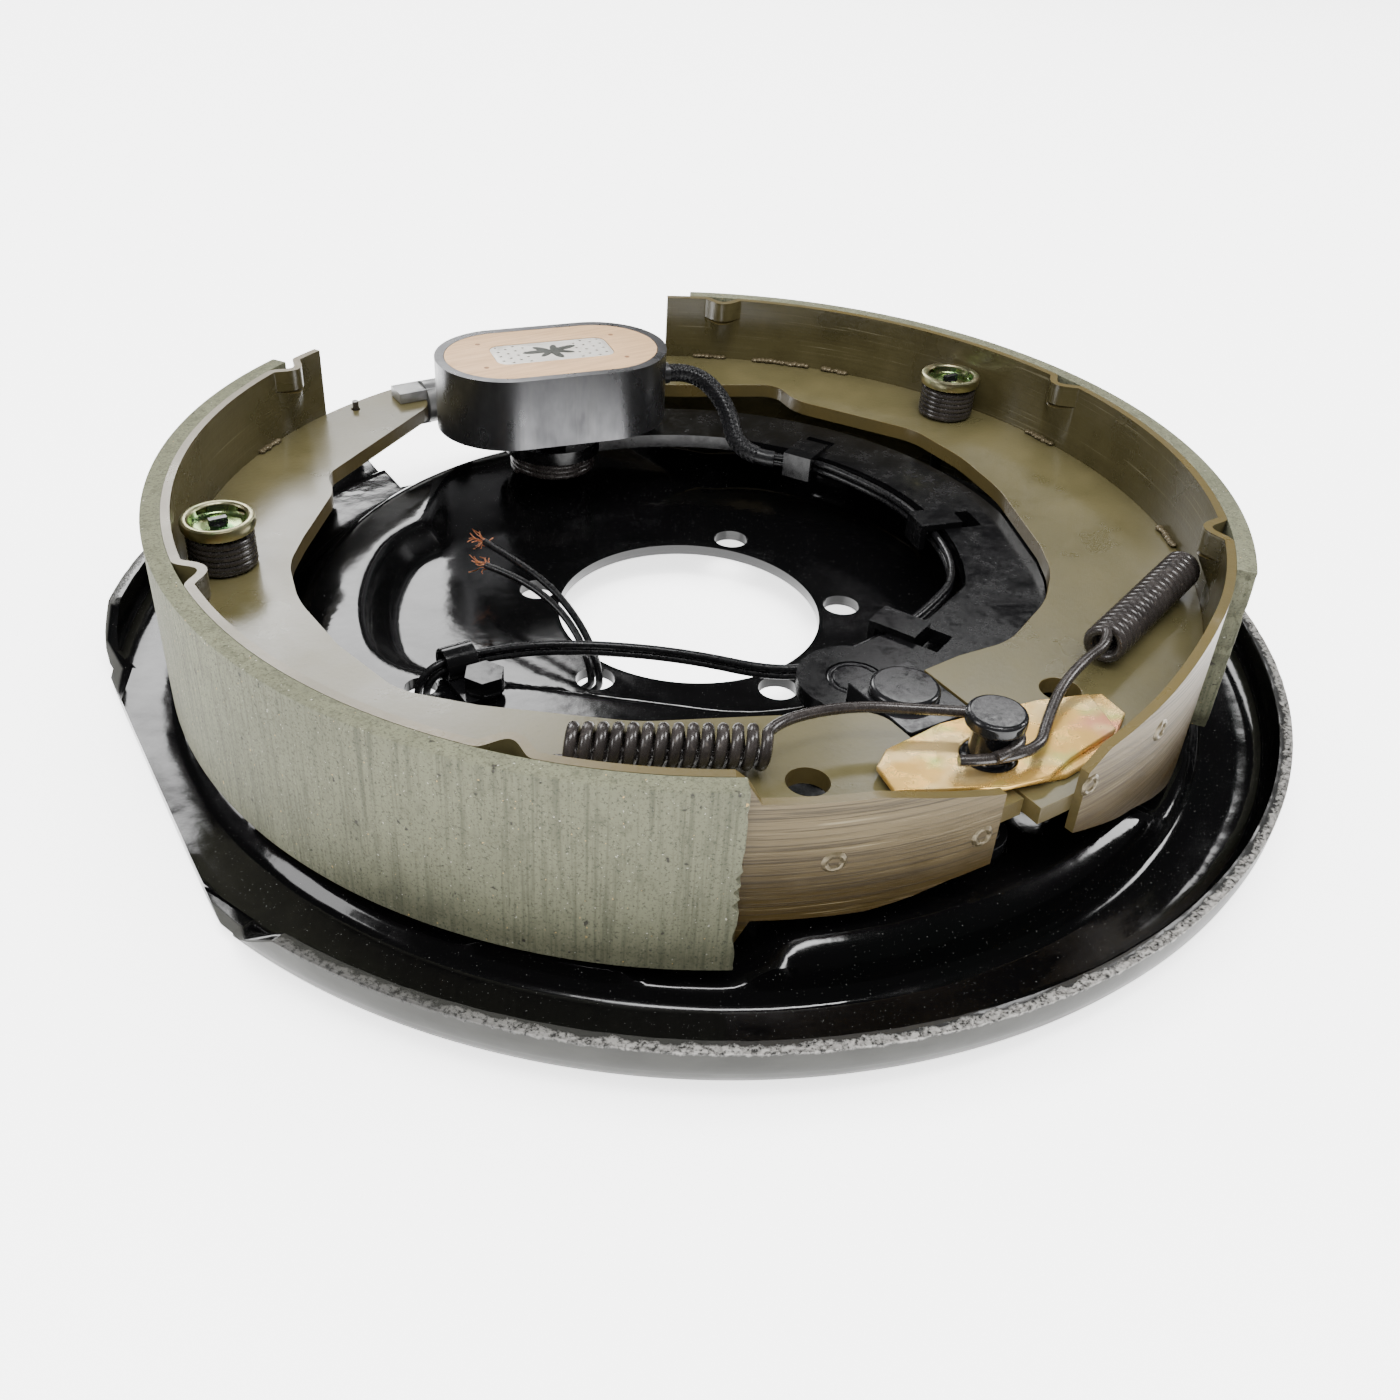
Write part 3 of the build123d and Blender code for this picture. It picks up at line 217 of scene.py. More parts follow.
def gloss_paint():
    """Wet black paint with runs, dust and a chipped lip; the lip's flat top and outer wall are painted lighter as
    painted reflection.
    """
    mat, tree, skin = new_finish("gloss_black_paint", IOR=1.5)
    where = node(tree, "ShaderNodeTexCoord").outputs["Object"]
    split = node(tree, "ShaderNodeSeparateXYZ", {0: where})
    radius = node(tree, "ShaderNodeVectorMath", {0: node(tree, "ShaderNodeVectorMath",
                  {0: where, 1: (1, 1, 0)}, operation="MULTIPLY").outputs[0]}, operation="LENGTH").outputs["Value"]
    rag = cloud(tree, 420, 6.0, 0.7, (1, 1, 0.7))
    lip = calc(tree, "ADD", split.outputs["Z"], steps(tree, rag, 0.3, 0.7, -0.0006, 0.0006))
    top = steps(tree, lip, 0.0056, 0.0062)
    out = calc(tree, "ADD", radius, steps(tree, cloud(tree, 260, 5.0, 0.7), 0.3, 0.7, -0.0011, 0.0011))
    rim = calc(tree, "MULTIPLY", top, steps(tree, out, 0.1743, 0.1750))
    side = node(tree, "ShaderNodeVectorMath", {0: where, 1: (-4.2, 3.9, 0)}, operation="DOT_PRODUCT").outputs["Value"]
    rim = calc(tree, "MULTIPLY", rim, steps(tree, side, -0.12, 0.35, 0.12, 1.0))
    chips = steps(tree, cloud(tree, 900, 5.0, 0.75), 0.40, 0.52)
    rim = calc(tree, "MULTIPLY", rim, chips)
    dust = steps(tree, cloud(tree, 2600, 1.0, 0.4), 0.755, 0.80)
    dark = blend_colour(tree, dust, colours().paint, (0.10, 0.10, 0.095))
    # The outer wall and the lip's lower outside are painted a lighter mottled grey: painted reflection of the bright
    # floor in the gloss black
    under = steps(tree, calc(tree, "SUBTRACT", radius, split.outputs["Z"]), 0.1760, 0.1770)
    wall = calc(tree, "MAXIMUM", steps(tree, radius, 0.1755, 0.1763), under)
    # The lip's flat top is painted a lighter grey: painted reflection
    crest_painted_reflection = calc(tree, "MULTIPLY", top, steps(tree, radius, 0.1720, 0.1730))
    wall_reflection_mottle = steps(tree, cloud(tree, 60, 5.0, 0.6, (1, 1, 3)), 0.3, 0.7, 0.75, 1.0)
    dark = blend_colour(tree, calc(tree, "MULTIPLY", wall, wall_reflection_mottle), dark, (0.050, 0.050, 0.046))
    dark = blend_colour(tree, crest_painted_reflection, dark, (0.016, 0.016, 0.0155))
    join(tree, calc(tree, "MULTIPLY", rim, 0.6), skin, "Metallic")
    join(tree, steps(tree, wall, 0, 1, 0.5, 0.09), skin, "Specular IOR Level")
    smear = steps(tree, cloud(tree, 34, 5.0, 0.6), 0.35, 0.75, 0.06, 0.22)
    rough = calc(tree, "ADD", smear, calc(tree, "MULTIPLY", rim, 0.35))
    rough = calc(tree, "ADD", rough, calc(tree, "MULTIPLY", wall, 0.25))
    wave = calc(tree, "ADD", cloud(tree, 70, 2.0, 0.5), calc(tree, "MULTIPLY", cloud(tree, 420, 2.0, 0.5), 0.10))
    wave = calc(tree, "ADD", wave, calc(tree, "MULTIPLY", calc(tree, "MULTIPLY", rim, rag), 2.5))
    return dressed(mat, skin, blend_colour(tree, rim, dark, (0.36, 0.35, 0.33)), rough, wave, 0.00022)


def dark_metal(name, tone, rough, grain, depth, metal=0.0, ior=1.6):
    """Blackened steel with worn, lighter specks."""
    mat, tree, skin = new_finish(name, IOR=ior, Metallic=metal)
    fine = cloud(tree, grain, 4.0, 0.6)
    wide = cloud(tree, 90, 3.0, 0.55)
    worn = steps(tree, wide, 0.45, 0.72)
    speck = steps(tree, fine, 0.68, 0.76, 0.0, 0.35)
    base = blend_colour(tree, calc(tree, "MAXIMUM", calc(tree, "MULTIPLY", worn, 0.16), speck), tone,
                       shaded(tone, 2.2, 0.004))
    sheen = steps(tree, calc(tree, "MULTIPLY", fine, wide), 0.12, 0.42, rough - 0.1, rough + 0.14)
    return dressed(mat, skin, base, sheen, fine, depth)


def shoe_paint(name, tone, second, rough, lines=0.0):
    """Thin olive paint, pooled darker in places, with faint machining lines where asked."""
    mat, tree, skin = new_finish(name, IOR=1.55, Coat_Weight=0.35, Coat_Roughness=0.16)
    wide = cloud(tree, 42, 4.0, 0.6)
    fine = cloud(tree, 650, 4.0, 0.65)
    base = blend_colour(tree, steps(tree, wide, 0.38, 0.66), tone, second)
    base = blend_colour(tree, steps(tree, fine, 0.60, 0.78, 0.0, 0.55), base, shaded(tone, 0.45))
    height = fine
    if lines:
        run = cloud(tree, 1.0, 3.0, 0.7, (18, 18, 1500))
        base = blend_colour(tree, steps(tree, run, 0.52, 0.66, 0.0, lines), base, shaded(tone, 0.55))
        base = blend_colour(tree, steps(tree, run, 0.38, 0.30, 0.0, lines * 0.8), base, (0.42, 0.38, 0.26))
        height = calc(tree, "ADD", fine, run)
    return dressed(mat, skin, base, steps(tree, wide, 0.3, 0.7, rough, rough + 0.16), height, 0.00006)


def neck_paint():
    """Bare end of a shoe table: grey beige above, gold brown below, with level machining lines."""
    mat, tree, skin = new_finish("shoe_neck", IOR=1.4)
    split = node(tree, "ShaderNodeSeparateXYZ", {0: node(tree, "ShaderNodeTexCoord").outputs["Object"]})
    run = cloud(tree, 1.0, 4.0, 0.75, (14, 14, 1300))
    wide = cloud(tree, 60, 3.0, 0.6)
    height = calc(tree, "ADD", split.outputs["Z"], steps(tree, wide, 0.3, 0.7, -0.003, 0.003))
    base = blend_colour(tree, steps(tree, height, 0.020, 0.037), (0.036, 0.023, 0.0055), (0.105, 0.078, 0.037))
    base = blend_colour(tree, steps(tree, run, 0.50, 0.60, 0.0, 0.8), base, (0.02, 0.013, 0.005))
    base = blend_colour(tree, steps(tree, run, 0.40, 0.32, 0.0, 0.75), base, (0.24, 0.20, 0.12))
    return dressed(mat, skin, base, steps(tree, run, 0.3, 0.7, 0.28, 0.5), run, 0.00014)


def lining_stuff():
    """Moulded friction lining: specks, chips of brass and glass, and grinding streaks across its width."""
    mat, tree, skin = new_finish("lining_face", IOR=1.45)
    tone = colours().lining
    wide = cloud(tree, 30, 4.0, 0.6)
    fine = cloud(tree, 1500, 3.0, 0.7)
    streak = cloud(tree, 1.0, 3.0, 0.65, (760, 760, 26))
    base = blend_colour(tree, steps(tree, wide, 0.3, 0.7), shaded(tone, 0.86), shaded(tone, 1.14))
    base = blend_colour(tree, steps(tree, streak, 0.48, 0.66, 0.0, 0.75), base, shaded(tone, 0.5))
    base = blend_colour(tree, steps(tree, fine, 0.54, 0.66, 0.0, 0.85), base, (0.03, 0.031, 0.024))
    mottle = steps(tree, cloud(tree, 240, 5.0, 0.7, (1, 1, 0.6)), 0.52, 0.68, 0.0, 0.6)
    base = blend_colour(tree, mottle, base, shaded(tone, 0.55))
    grit = cloud(tree, 1250, 2.0, 0.5)
    base = blend_colour(tree, steps(tree, grit, 0.29, 0.25, 0.0, 0.8), base, (0.34, 0.33, 0.28))
    brass = cloud(tree, 900, 2.0, 0.5)
    base = blend_colour(tree, steps(tree, brass, 0.735, 0.76), base, (0.36, 0.24, 0.09))
    pits = steps(tree, cloud(tree, 430, 2.0, 0.5), 0.70, 0.745)
    base = blend_colour(tree, pits, base, (0.03, 0.028, 0.022))
    height = calc(tree, "SUBTRACT", calc(tree, "ADD", calc(tree, "MULTIPLY", streak, 0.9), fine),
                  calc(tree, "MULTIPLY", pits, 1.5))
    return dressed(mat, skin, base, steps(tree, fine, 0.3, 0.7, 0.72, 0.92), height, 0.00016)


def plated(name, tone, tints, rough, scale, metal=1.0):
    """Chromated zinc, its colour wandering through the given tints."""
    mat, tree, skin = new_finish(name, Metallic=metal)
    base = tone
    for i, (tint, cut) in enumerate(tints):
        patch = steps(tree, cloud(tree, scale * (1 + 0.37 * i), 2.5, 0.5, (1, 1.6, 1)), cut, cut + 0.14)
        base = blend_colour(tree, patch, base, tint)
    fine = cloud(tree, 1100, 4.0, 0.7)
    base = blend_colour(tree, steps(tree, fine, 0.62, 0.72, 0.0, 0.5), base, shaded(tone, 0.35))
    return dressed(mat, skin, base, steps(tree, cloud(tree, 160), 0.3, 0.7, rough - 0.07, rough + 0.1), fine, 0.00003)


def turned_steel():
    """Magnet case: drawn steel with upright drag lines and dull smears."""
    mat, tree, skin = new_finish("drawn_steel", Metallic=0.95)
    run = cloud(tree, 1.0, 4.0, 0.7, (420, 420, 30))
    smear = cloud(tree, 55, 4.0, 0.65, (1, 1, 0.5))
    base = blend_colour(tree, steps(tree, smear, 0.38, 0.66), colours().steel, (0.11, 0.11, 0.115))
    base = blend_colour(tree, steps(tree, run, 0.52, 0.68, 0.0, 0.45), base, (0.16, 0.16, 0.16))
    return dressed(mat, skin, base, steps(tree, smear, 0.3, 0.7, 0.2, 0.42), run, 0.00004)


def ring_stuff():
    """Pressed friction ring, streaked along its length."""
    mat, tree, skin = new_finish("friction_ring", IOR=1.45, Metallic=0.1)
    run = cloud(tree, 1.0, 3.0, 0.6, (60, 900, 60), math.radians(MAGNET_TURN))
    base = blend_colour(tree, steps(tree, run, 0.4, 0.66), colours().ring, (0.36, 0.23, 0.125))
    fine = cloud(tree, 1700, 3.0, 0.6)
    base = blend_colour(tree, steps(tree, fine, 0.62, 0.72, 0.0, 0.6), base, (0.2, 0.14, 0.09))
    return dressed(mat, skin, base, steps(tree, run, 0.3, 0.7, 0.42, 0.6), run, 0.00003)


def spring_skin():
    """Oiled spring wire with brown specks."""
    mat, tree, skin = new_finish("spring_wire", IOR=1.8, Metallic=0.3)
    fine = cloud(tree, 700, 3.0, 0.6)
    base = blend_colour(tree, steps(tree, cloud(tree, 120), 0.4, 0.65), colours().wire, (0.034, 0.029, 0.027))
    base = blend_colour(tree, steps(tree, fine, 0.62, 0.72, 0.0, 0.6), base, (0.085, 0.07, 0.06))
    return dressed(mat, skin, base, steps(tree, fine, 0.3, 0.7, 0.2, 0.34), fine, 0.000008)


def rubber(name, tone, rough):
    """Dark rubber or thread, barely mottled."""
    mat, tree, skin = new_finish(name, IOR=1.5)
    fine = cloud(tree, 1200, 3.0, 0.6)
    base = blend_colour(tree, steps(tree, fine, 0.5, 0.75, 0.0, 0.5), tone, shaded(tone, 1.8, 0.003))
    return dressed(mat, skin, base, steps(tree, fine, 0.3, 0.7, rough - 0.08, rough + 0.08), fine, 0.00003)


def floor_stuff():
    """Pale paper floor that glows a little."""
    mat, tree, skin = new_finish("studio_floor", Roughness=0.9, IOR=1.3, Specular_IOR_Level=0.1,
                                 Emission_Color=(1, 1, 1, 1), Emission_Strength=2.2)
    tone = colours().floor
    join(tree, blend_colour(tree, cloud(tree, 3.0), tone, shaded(tone, 1.01)), skin, "Base Color")
    return mat


FINISHES = {}


def mix_finishes():
    c = colours()
    FINISHES.update(
        black_paint=gloss_paint(),
        black_satin=dark_metal("arm_black", (0.0022, 0.0022, 0.0024), 0.2, 500.0, 0.000004, ior=1.4),
        black_steel=dark_metal("oiled_black_steel", (0.006, 0.006, 0.0065), 0.16, 900.0, 0.000004, ior=1.45),
        clip_steel=dark_metal("clip_dark_steel", (0.012, 0.014, 0.009), 0.4, 1300.0, 0.00003, 0.3),
        weld=dark_metal("weld_metal", (0.10, 0.08, 0.045), 0.32, 1400.0, 0.0001, 0.5),
        olive_paint=shoe_paint("shoe_olive", c.olive, (0.068, 0.058, 0.026), 0.24),
        # The tables' inward faces get a darker copy of the olive, a painted shade, with faint machining lines
        table_inside=shoe_paint("shoe_olive_painted_shade", (0.036, 0.030, 0.0115), (0.055, 0.046, 0.019), 0.22, 0.25),
        # Edge faces of tables and webs: gold brown painted highlight
        shoe_edge=shoe_paint("shoe_edge_gold_highlight", c.gold, (0.06, 0.047, 0.018), 0.24),
        neck=neck_paint(),
        lining=lining_stuff(),
        gold_zinc=plated("gold_chromate", c.zinc, (((0.74, 0.34, 0.20), 0.56), ((0.50, 0.52, 0.16), 0.58),
                                                   ((0.82, 0.60, 0.28), 0.5)), 0.26, 38.0, 0.8),
        green_zinc=plated("green_chromate", (0.40, 0.52, 0.22), (((0.16, 0.36, 0.13), 0.46),
                                                                 ((0.58, 0.60, 0.30), 0.55)), 0.26, 120.0),
        cup_rim=plated("tan_chromate", (0.52, 0.50, 0.30), (((0.60, 0.50, 0.30), 0.5),
                                                            ((0.44, 0.50, 0.26), 0.58)), 0.34, 140.0),
        grey_zinc=plated("grey_zinc", (0.30, 0.30, 0.295), (((0.19, 0.19, 0.19), 0.5),), 0.38, 90.0, 0.8),
        pole_steel=plated("pole_steel", (0.48, 0.46, 0.42), (((0.38, 0.36, 0.32), 0.55),), 0.36, 90.0, 0.35),
        copper=plated("bare_copper", (0.80, 0.33, 0.17), (((0.62, 0.22, 0.10), 0.5),), 0.3, 300.0),
        bare_steel=turned_steel(),
        friction_ring=ring_stuff(),
        spring_steel=spring_skin(),
        sleeve=rubber("sleeve_thread", (0.004, 0.004, 0.0045), 0.36),
        lead_skin=rubber("lead_skin", (0.003, 0.003, 0.0033), 0.3),
        pip=rubber("pip_brown", (0.14, 0.065, 0.025), 0.5),
    )


# Mesh helpers
def at(x, y, z):
    return Vector((x * MM, y * MM, z * MM))


def polar(radius, angle, centre=(0.0, 0.0)):
    turn = math.radians(angle)
    return centre[0] + radius * math.cos(turn), centre[1] + radius * math.sin(turn)


def spun(profile, centre=(0.0, 0.0), count=64, span=360.0, start=0.0):
    """A shell turned from an (r, z) line about an upright axis."""
    bm = bmesh.new()
    verts = [bm.verts.new(at(*polar(r, start), z)) for r, z in profile]
    line = verts + [bm.edges.new(pair) for pair in zip(verts, verts[1:])]
    bmesh.ops.spin(bm, geom=line, cent=(0, 0, 0), axis=(0, 0, 1), dvec=(0, 0, 0),
                   angle=math.radians(span), steps=count, use_merge=span >= 360.0, use_duplicate=False)
    bmesh.ops.remove_doubles(bm, verts=bm.verts, dist=2e-6)
    bmesh.ops.translate(bm, vec=at(centre[0], centre[1], 0), verts=bm.verts)
    bmesh.ops.recalc_face_normals(bm, faces=bm.faces)
    return bm


def cad_copy(name):
    """A merged copy of a CAD node with its flat faces whole again."""
    bm = bmesh.new()
    bm.from_mesh(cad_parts[name].data)
    bmesh.ops.remove_doubles(bm, verts=bm.verts, dist=2e-6)
    bmesh.ops.dissolve_limit(bm, angle_limit=math.radians(0.6), verts=bm.verts, edges=bm.edges)
    return bm


def mesh_from(bm, name):
    mesh = bpy.data.meshes.new(name)
    bm.to_mesh(mesh)
    bm.free()
    return mesh


def placed(name, data, finishes=()):
    """An object at the origin with its finishes."""
    obj = bpy.data.objects.new(name, data)
    bpy.context.scene.collection.objects.link(obj)
    for key in finishes:
        data.materials.append(FINISHES[key])
    return obj


def bake(obj):
    """Turns the modifiers of an object into its mesh."""
    bpy.context.view_layer.update()
    graph = bpy.context.evaluated_depsgraph_get()
    mesh = bpy.data.meshes.new_from_object(obj.evaluated_get(graph))
    obj.modifiers.clear()
    obj.data = mesh
    return mesh


def settle(obj, sharp, flat):
    """Bakes and shades smooth up to the sharp angle; flat keeps broad faces flat beside their bevels."""
    mesh = bake(obj)
    mesh.shade_smooth()
    mesh.set_sharp_from_angle(angle=math.radians(sharp))
    if flat:
        obj.modifiers.new("flat_faces", "WEIGHTED_NORMAL").keep_sharp = True
        bake(obj)


def piece(bm, name, body, finishes, replaces=(), wall=0.0, bevel=0.0, rounds=2, corner=32.0, edge=-1,
          sharp=35.0, cutters=(), even=True):
    """Turns a bmesh into a finished piece that rides on its body; wall in m, bevel in mm, angles in degrees."""
    obj = placed(name, mesh_from(bm, name), finishes)
    if wall:
        made = obj.modifiers.new("wall", "SOLIDIFY")
        made.thickness, made.offset, made.use_even_offset = wall, -1.0, even
    if bevel:
        made = obj.modifiers.new("edges", "BEVEL")
        made.width, made.segments, made.limit_method = bevel * MM, rounds, "ANGLE"
        made.angle_limit, made.material, made.miter_outer = math.radians(corner), edge, "MITER_ARC"
    tools = [cut_by(obj, cutter) for cutter in cutters]
    settle(obj, sharp, bevel > 0 and not cutters)
    for tool in tools:
        bpy.data.objects.remove(tool)
    return ride(obj, body, replaces)


def cut_by(obj, cutter):
    """Takes the shape of a bmesh out of an object."""
    bmesh.ops.recalc_face_normals(cutter, faces=cutter.faces)
    tool = placed("cutter", mesh_from(cutter, "cutter"))
    made = obj.modifiers.new("cuts", "BOOLEAN")
    made.object, made.operation, made.solver = tool, "DIFFERENCE", "EXACT"
    return tool


def drop_inside(bm, inside):
    doomed = [f for f in bm.faces if inside(f.calc_center_median())]
    bmesh.ops.delete(bm, geom=doomed, context="FACES")


def face_out(bm, centre):
    """Turns a shell's faces away from its upright axis."""
    bmesh.ops.recalc_face_normals(bm, faces=bm.faces)
    middle = at(*centre, 0)
    if sum(f.normal.xy.dot((f.calc_center_median() - middle).xy) for f in bm.faces) < 0:
        bmesh.ops.reverse_faces(bm, faces=bm.faces)


def apart(first, second):
    """Degrees between two bearings."""
    return abs((first - second + 180.0) % 360.0 - 180.0)


def pin(bm, spot, radius, depth, sides):
    """Adds an upright round pin about its middle, in mm."""
    made = bmesh.ops.create_cone(bm, cap_ends=True, segments=sides, radius1=radius * MM, radius2=radius * MM,
                                 depth=depth * MM)["verts"]
    bmesh.ops.translate(bm, vec=at(*spot), verts=made)


def drills(spots, low, high):
    """Round cutters, each given as x, y and radius in mm."""
    bm = bmesh.new()
    for x, y, radius in spots:
        pin(bm, (x, y, (high + low) / 2), radius, high - low, 40)
    return bm


def block(corner):
    """A box whose eight corners are placed in mm by corner(right, far, high)."""
    bm = bmesh.new()
    for v in bmesh.ops.create_cube(bm, size=1.0)["verts"]:
        v.co = at(*corner(v.co.x > 0, v.co.y > 0, v.co.z > 0))
    return bm


def ride(obj, body, replaces=()):
    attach(obj, body)
    if replaces:
        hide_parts(*replaces)
    return obj


def new_curve(name, radius, sides, steps_between=1):
    """An empty curve that draws round wires."""
    data = bpy.data.curves.new(name, "CURVE")
    data.dimensions, data.bevel_depth = "3D", radius
    data.bevel_resolution, data.resolution_u = sides, steps_between
    return data


def add_run(data, points, kind):
    """One wire of a curve along points in mm."""
    run = data.splines.new(kind)
    run.points.add(len(points) - 1)
    for spot, p in zip(run.points, points):
        spot.co = (*at(*p), 1.0)
    if kind == "NURBS":
        run.order_u, run.use_endpoint_u = 3, True
    run.use_smooth = True


def wire_curve(name, points, radius, finish, kind="POLY", sides=4):
    """A round wire with closed ends along points in mm."""
    data = new_curve(name, radius, sides, 12 if kind == "NURBS" else 1)
    data.use_fill_caps = True
    add_run(data, points, kind)
    return placed(name, data, [finish])


def softened(points, count=10):
    """Samples of the quadratic spline that the corner points pull on."""
    p = [Vector(q) for q in points]
    out = [p[0]]
    for i in range(1, len(p) - 1):
        a = p[0] if i == 1 else (p[i - 1] + p[i]) / 2
        b = p[-1] if i == len(p) - 2 else (p[i] + p[i + 1]) / 2
        for k in range(1, count + 1):
            t = k / count
            out.append(a * (1 - t) ** 2 + p[i] * 2 * t * (1 - t) + b * t * t)
    return out


def frames(points):
    """Side and up vectors that don't twist along a line of points."""
    side = (points[1] - points[0]).orthogonal().normalized()
    for i, p in enumerate(points):
        ahead = (points[min(i + 1, len(points) - 1)] - points[max(i - 1, 0)]).normalized()
        side = (side - ahead * side.dot(ahead)).normalized()
        yield p, side, ahead.cross(side)


def length_of(points):
    return sum((Vector(b) - Vector(a)).length for a, b in zip(points, points[1:]))


def helix(start, end, turns, radius, first_up=90.0, count=24):
    """Points of a coil between two points, first_up being where it starts round its axis."""
    a, b = Vector(start), Vector(end)
    axis = (b - a).normalized()
    side = axis.cross(Vector((0, 0, 1))).normalized() if abs(axis.z) < 0.9 else Vector((1, 0, 0))
    up = side.cross(axis).normalized()
    total = int(turns * count)
    out = []
    for i in range(total + 1):
        turn = math.radians(first_up + 360.0 * turns * i / total)
        out.append(a.lerp(b, i / total) + side * radius * math.cos(turn) + up * radius * math.sin(turn))
    return out


# Stage, camera and light
def softbox(name, spot, target, size, power, glossy=True):
    """A rectangular lamp that faces its target, in m."""
    data = bpy.data.lights.new(name, "AREA")
    data.shape, data.size, data.size_y, data.energy = "RECTANGLE", *size, power
    obj = placed(name, data)
    obj.location = spot
    obj.rotation_euler = (Vector(target) - obj.location).to_track_quat("-Z", "Y").to_euler()
    obj.visible_glossy = glossy


class BRAKE_OT_stage(bpy.types.Operator):
    """Floor, camera at the photo's place, soft studio light"""

    bl_idname = "brake.stage"
    bl_label = "Stage"

    def execute(self, context):
        data = bpy.data.cameras.new("view")
        data.lens, data.sensor_width = 34.32, 36.0
        data.shift_x, data.shift_y = 0.0373, -0.0125
        data.clip_start, data.clip_end = 0.01, 50.0
        # The camera's place and axes were solved from the round edges of the plate and its holes
        camera = placed("view", data)
        right = (-0.86182653, 0.50592856, 0.03593501)
        up = (-0.26412838, -0.50815687, 0.81976387)
        back = (0.43300258, 0.69700279, 0.57157316)
        turn = Matrix((right, up, back)).transposed().to_4x4()
        camera.matrix_world = Matrix.Translation((0.19815, 0.2966, 0.2229)) @ turn
        context.scene.camera = camera
        bm = bmesh.new()
        bmesh.ops.create_grid(bm, x_segments=8, y_segments=8, size=12.0)
        bmesh.ops.translate(bm, vec=at(0, 0, FLOOR_LEVEL), verts=bm.verts)
        floor = placed("studio_floor", mesh_from(bm, "studio_floor"))
        floor.data.materials.append(floor_stuff())
        world = bpy.data.worlds.new("studio")
        world.use_nodes = True
        world.node_tree.nodes["Background"].inputs[0].default_value = (1, 1, 1, 1)
        world.node_tree.nodes["Background"].inputs[1].default_value = 0.035
        context.scene.world = world
        softbox("sky_fill", (0, 0, 3.2), (0, 0, 0), (5, 5), 520, glossy=False)
        softbox("front_fill", (1.4, 1.9, 1.3), (0, 0, 0), (1.6, 1.2), 40, glossy=False)
        softbox("window_back", (-0.42, -1.84, 1.22), (0.1, 0, 0), (0.9, 0.6), 17)
        softbox("window_right", (-1.35, -1.04, 1.36), (0, 0.12, 0), (0.5, 0.2), 2.6)
        softbox("window_side", (1.9, -0.6, 0.9), (0, 0, 0), (0.7, 0.9), 14)
        softbox("window_front", (-1.9, 0.5, 1.0), (0, 0, 0), (0.4, 0.9), 16)
        softbox("strip_top", (0.1, 0.5, 2.0), (0, 0, 0), (1.1, 0.3), 26)
        return {"FINISHED"}


class BRAKE_OT_cords(bpy.types.Operator):
    """Braided sleeve, the leads on the arm and the two loose leads with their bare ends"""

    bl_idname = "brake.cords"
    bl_label = "Sleeve and leads"

    def execute(self, context):
        s = sizes()
        core = wire_curve("sleeve_core", SLEEVE_PATH, s.sleeve / 2, "sleeve", "NURBS", 6)
        ride(core, "arm", ("lead_sleeve",))
        length_of(softened(SLEEVE_PATH)) * MM
        self.braid(s.sleeve / 2)
        self.strands()
        for name, path in (("lead_upper", LEAD_UPPER_PATH), ("lead_lower", LEAD_LOWER_PATH)):
            lead = wire_curve(name + "_skin", path, s.lead / 2, "lead_skin", "NURBS", 5)
            ride(lead, "plate", (name,))
            at(*path[0])
            length_of(softened(path)) * MM
        for name, lift in (("arm_lead_upper", 1.2), ("arm_lead_lower", -1.2)):
            path = [(x, y, z + lift) for x, y, z in ARM_LEAD_PATH]
            ride(wire_curve(name + "_skin", path, s.lead / 2, "lead_skin", "NURBS", 5), "arm", (name,))
        return {"FINISHED"}

    def braid(self, radius):
        """Woven threads wound both ways round the sleeve, each over and under in turn."""
        line = softened(SLEEVE_PATH, 60)
        gone, total = 0.0, length_of(line)
        spots = []
        for i, (p, side, up) in enumerate(frames(line)):
            if i:
                gone += (p - line[i - 1]).length
            if 1.0 < gone < total - 6.0:
                spots.append((gone, p, side, up))
        data = new_curve("sleeve_braid", 0.36 * MM, 1)
        for way in (1, -1):
            for strand in range(8):
                thread = []
                for gone, p, side, up in spots:
                    turn = way * (gone * 0.42 + strand * math.pi / 4)
                    lift = radius / MM - 0.08 + 0.16 * way * math.cos(4.0 * turn * way + (0 if way > 0 else math.pi))
                    thread.append(p + (side * math.cos(turn) + up * math.sin(turn)) * lift)
                add_run(data, thread, "POLY")
        ride(placed("sleeve_braid", data, ["sleeve"]), "arm")

    def strands(self):
        """Bare copper hairs that fray out of the ends of the two leads."""
        dice = random.Random(7)
        for name, path in (("upper", LEAD_UPPER_PATH), ("lower", LEAD_LOWER_PATH)):
            tip = Vector(path[-1])
            ahead = (tip - Vector(path[-2])).normalized()
            data = new_curve("copper_" + name, 0.17 * MM, 1, 4)
            for _ in range(16):
                drift = Vector((dice.uniform(-1, 1), dice.uniform(-1, 1), dice.uniform(-0.7, 0.7)))
                reach = dice.uniform(3.5, 7.0)
                start = tip - ahead * 1.5 + drift * 0.5
                hair = []
                for k in range(5):
                    share = k / 4
                    loose = Vector((dice.uniform(-1, 1), dice.uniform(-1, 1), dice.uniform(-0.6, 0.6))) * 1.5 * share
                    hair.append(start + ahead * reach * share + drift * 2.6 * share * share + loose)
                add_run(data, hair, "NURBS")
            ride(placed("copper_" + name, data, ["copper"]), "plate")


def hooked(hook, coil, turns, radius, tail):
    """Points of a spring wire: hook, coil and tail, the coil's radius at the middle of its wire."""
    return softened(hook, 8)[:-1] + helix(*coil, turns, radius) + softened(tail, 8)[1:]


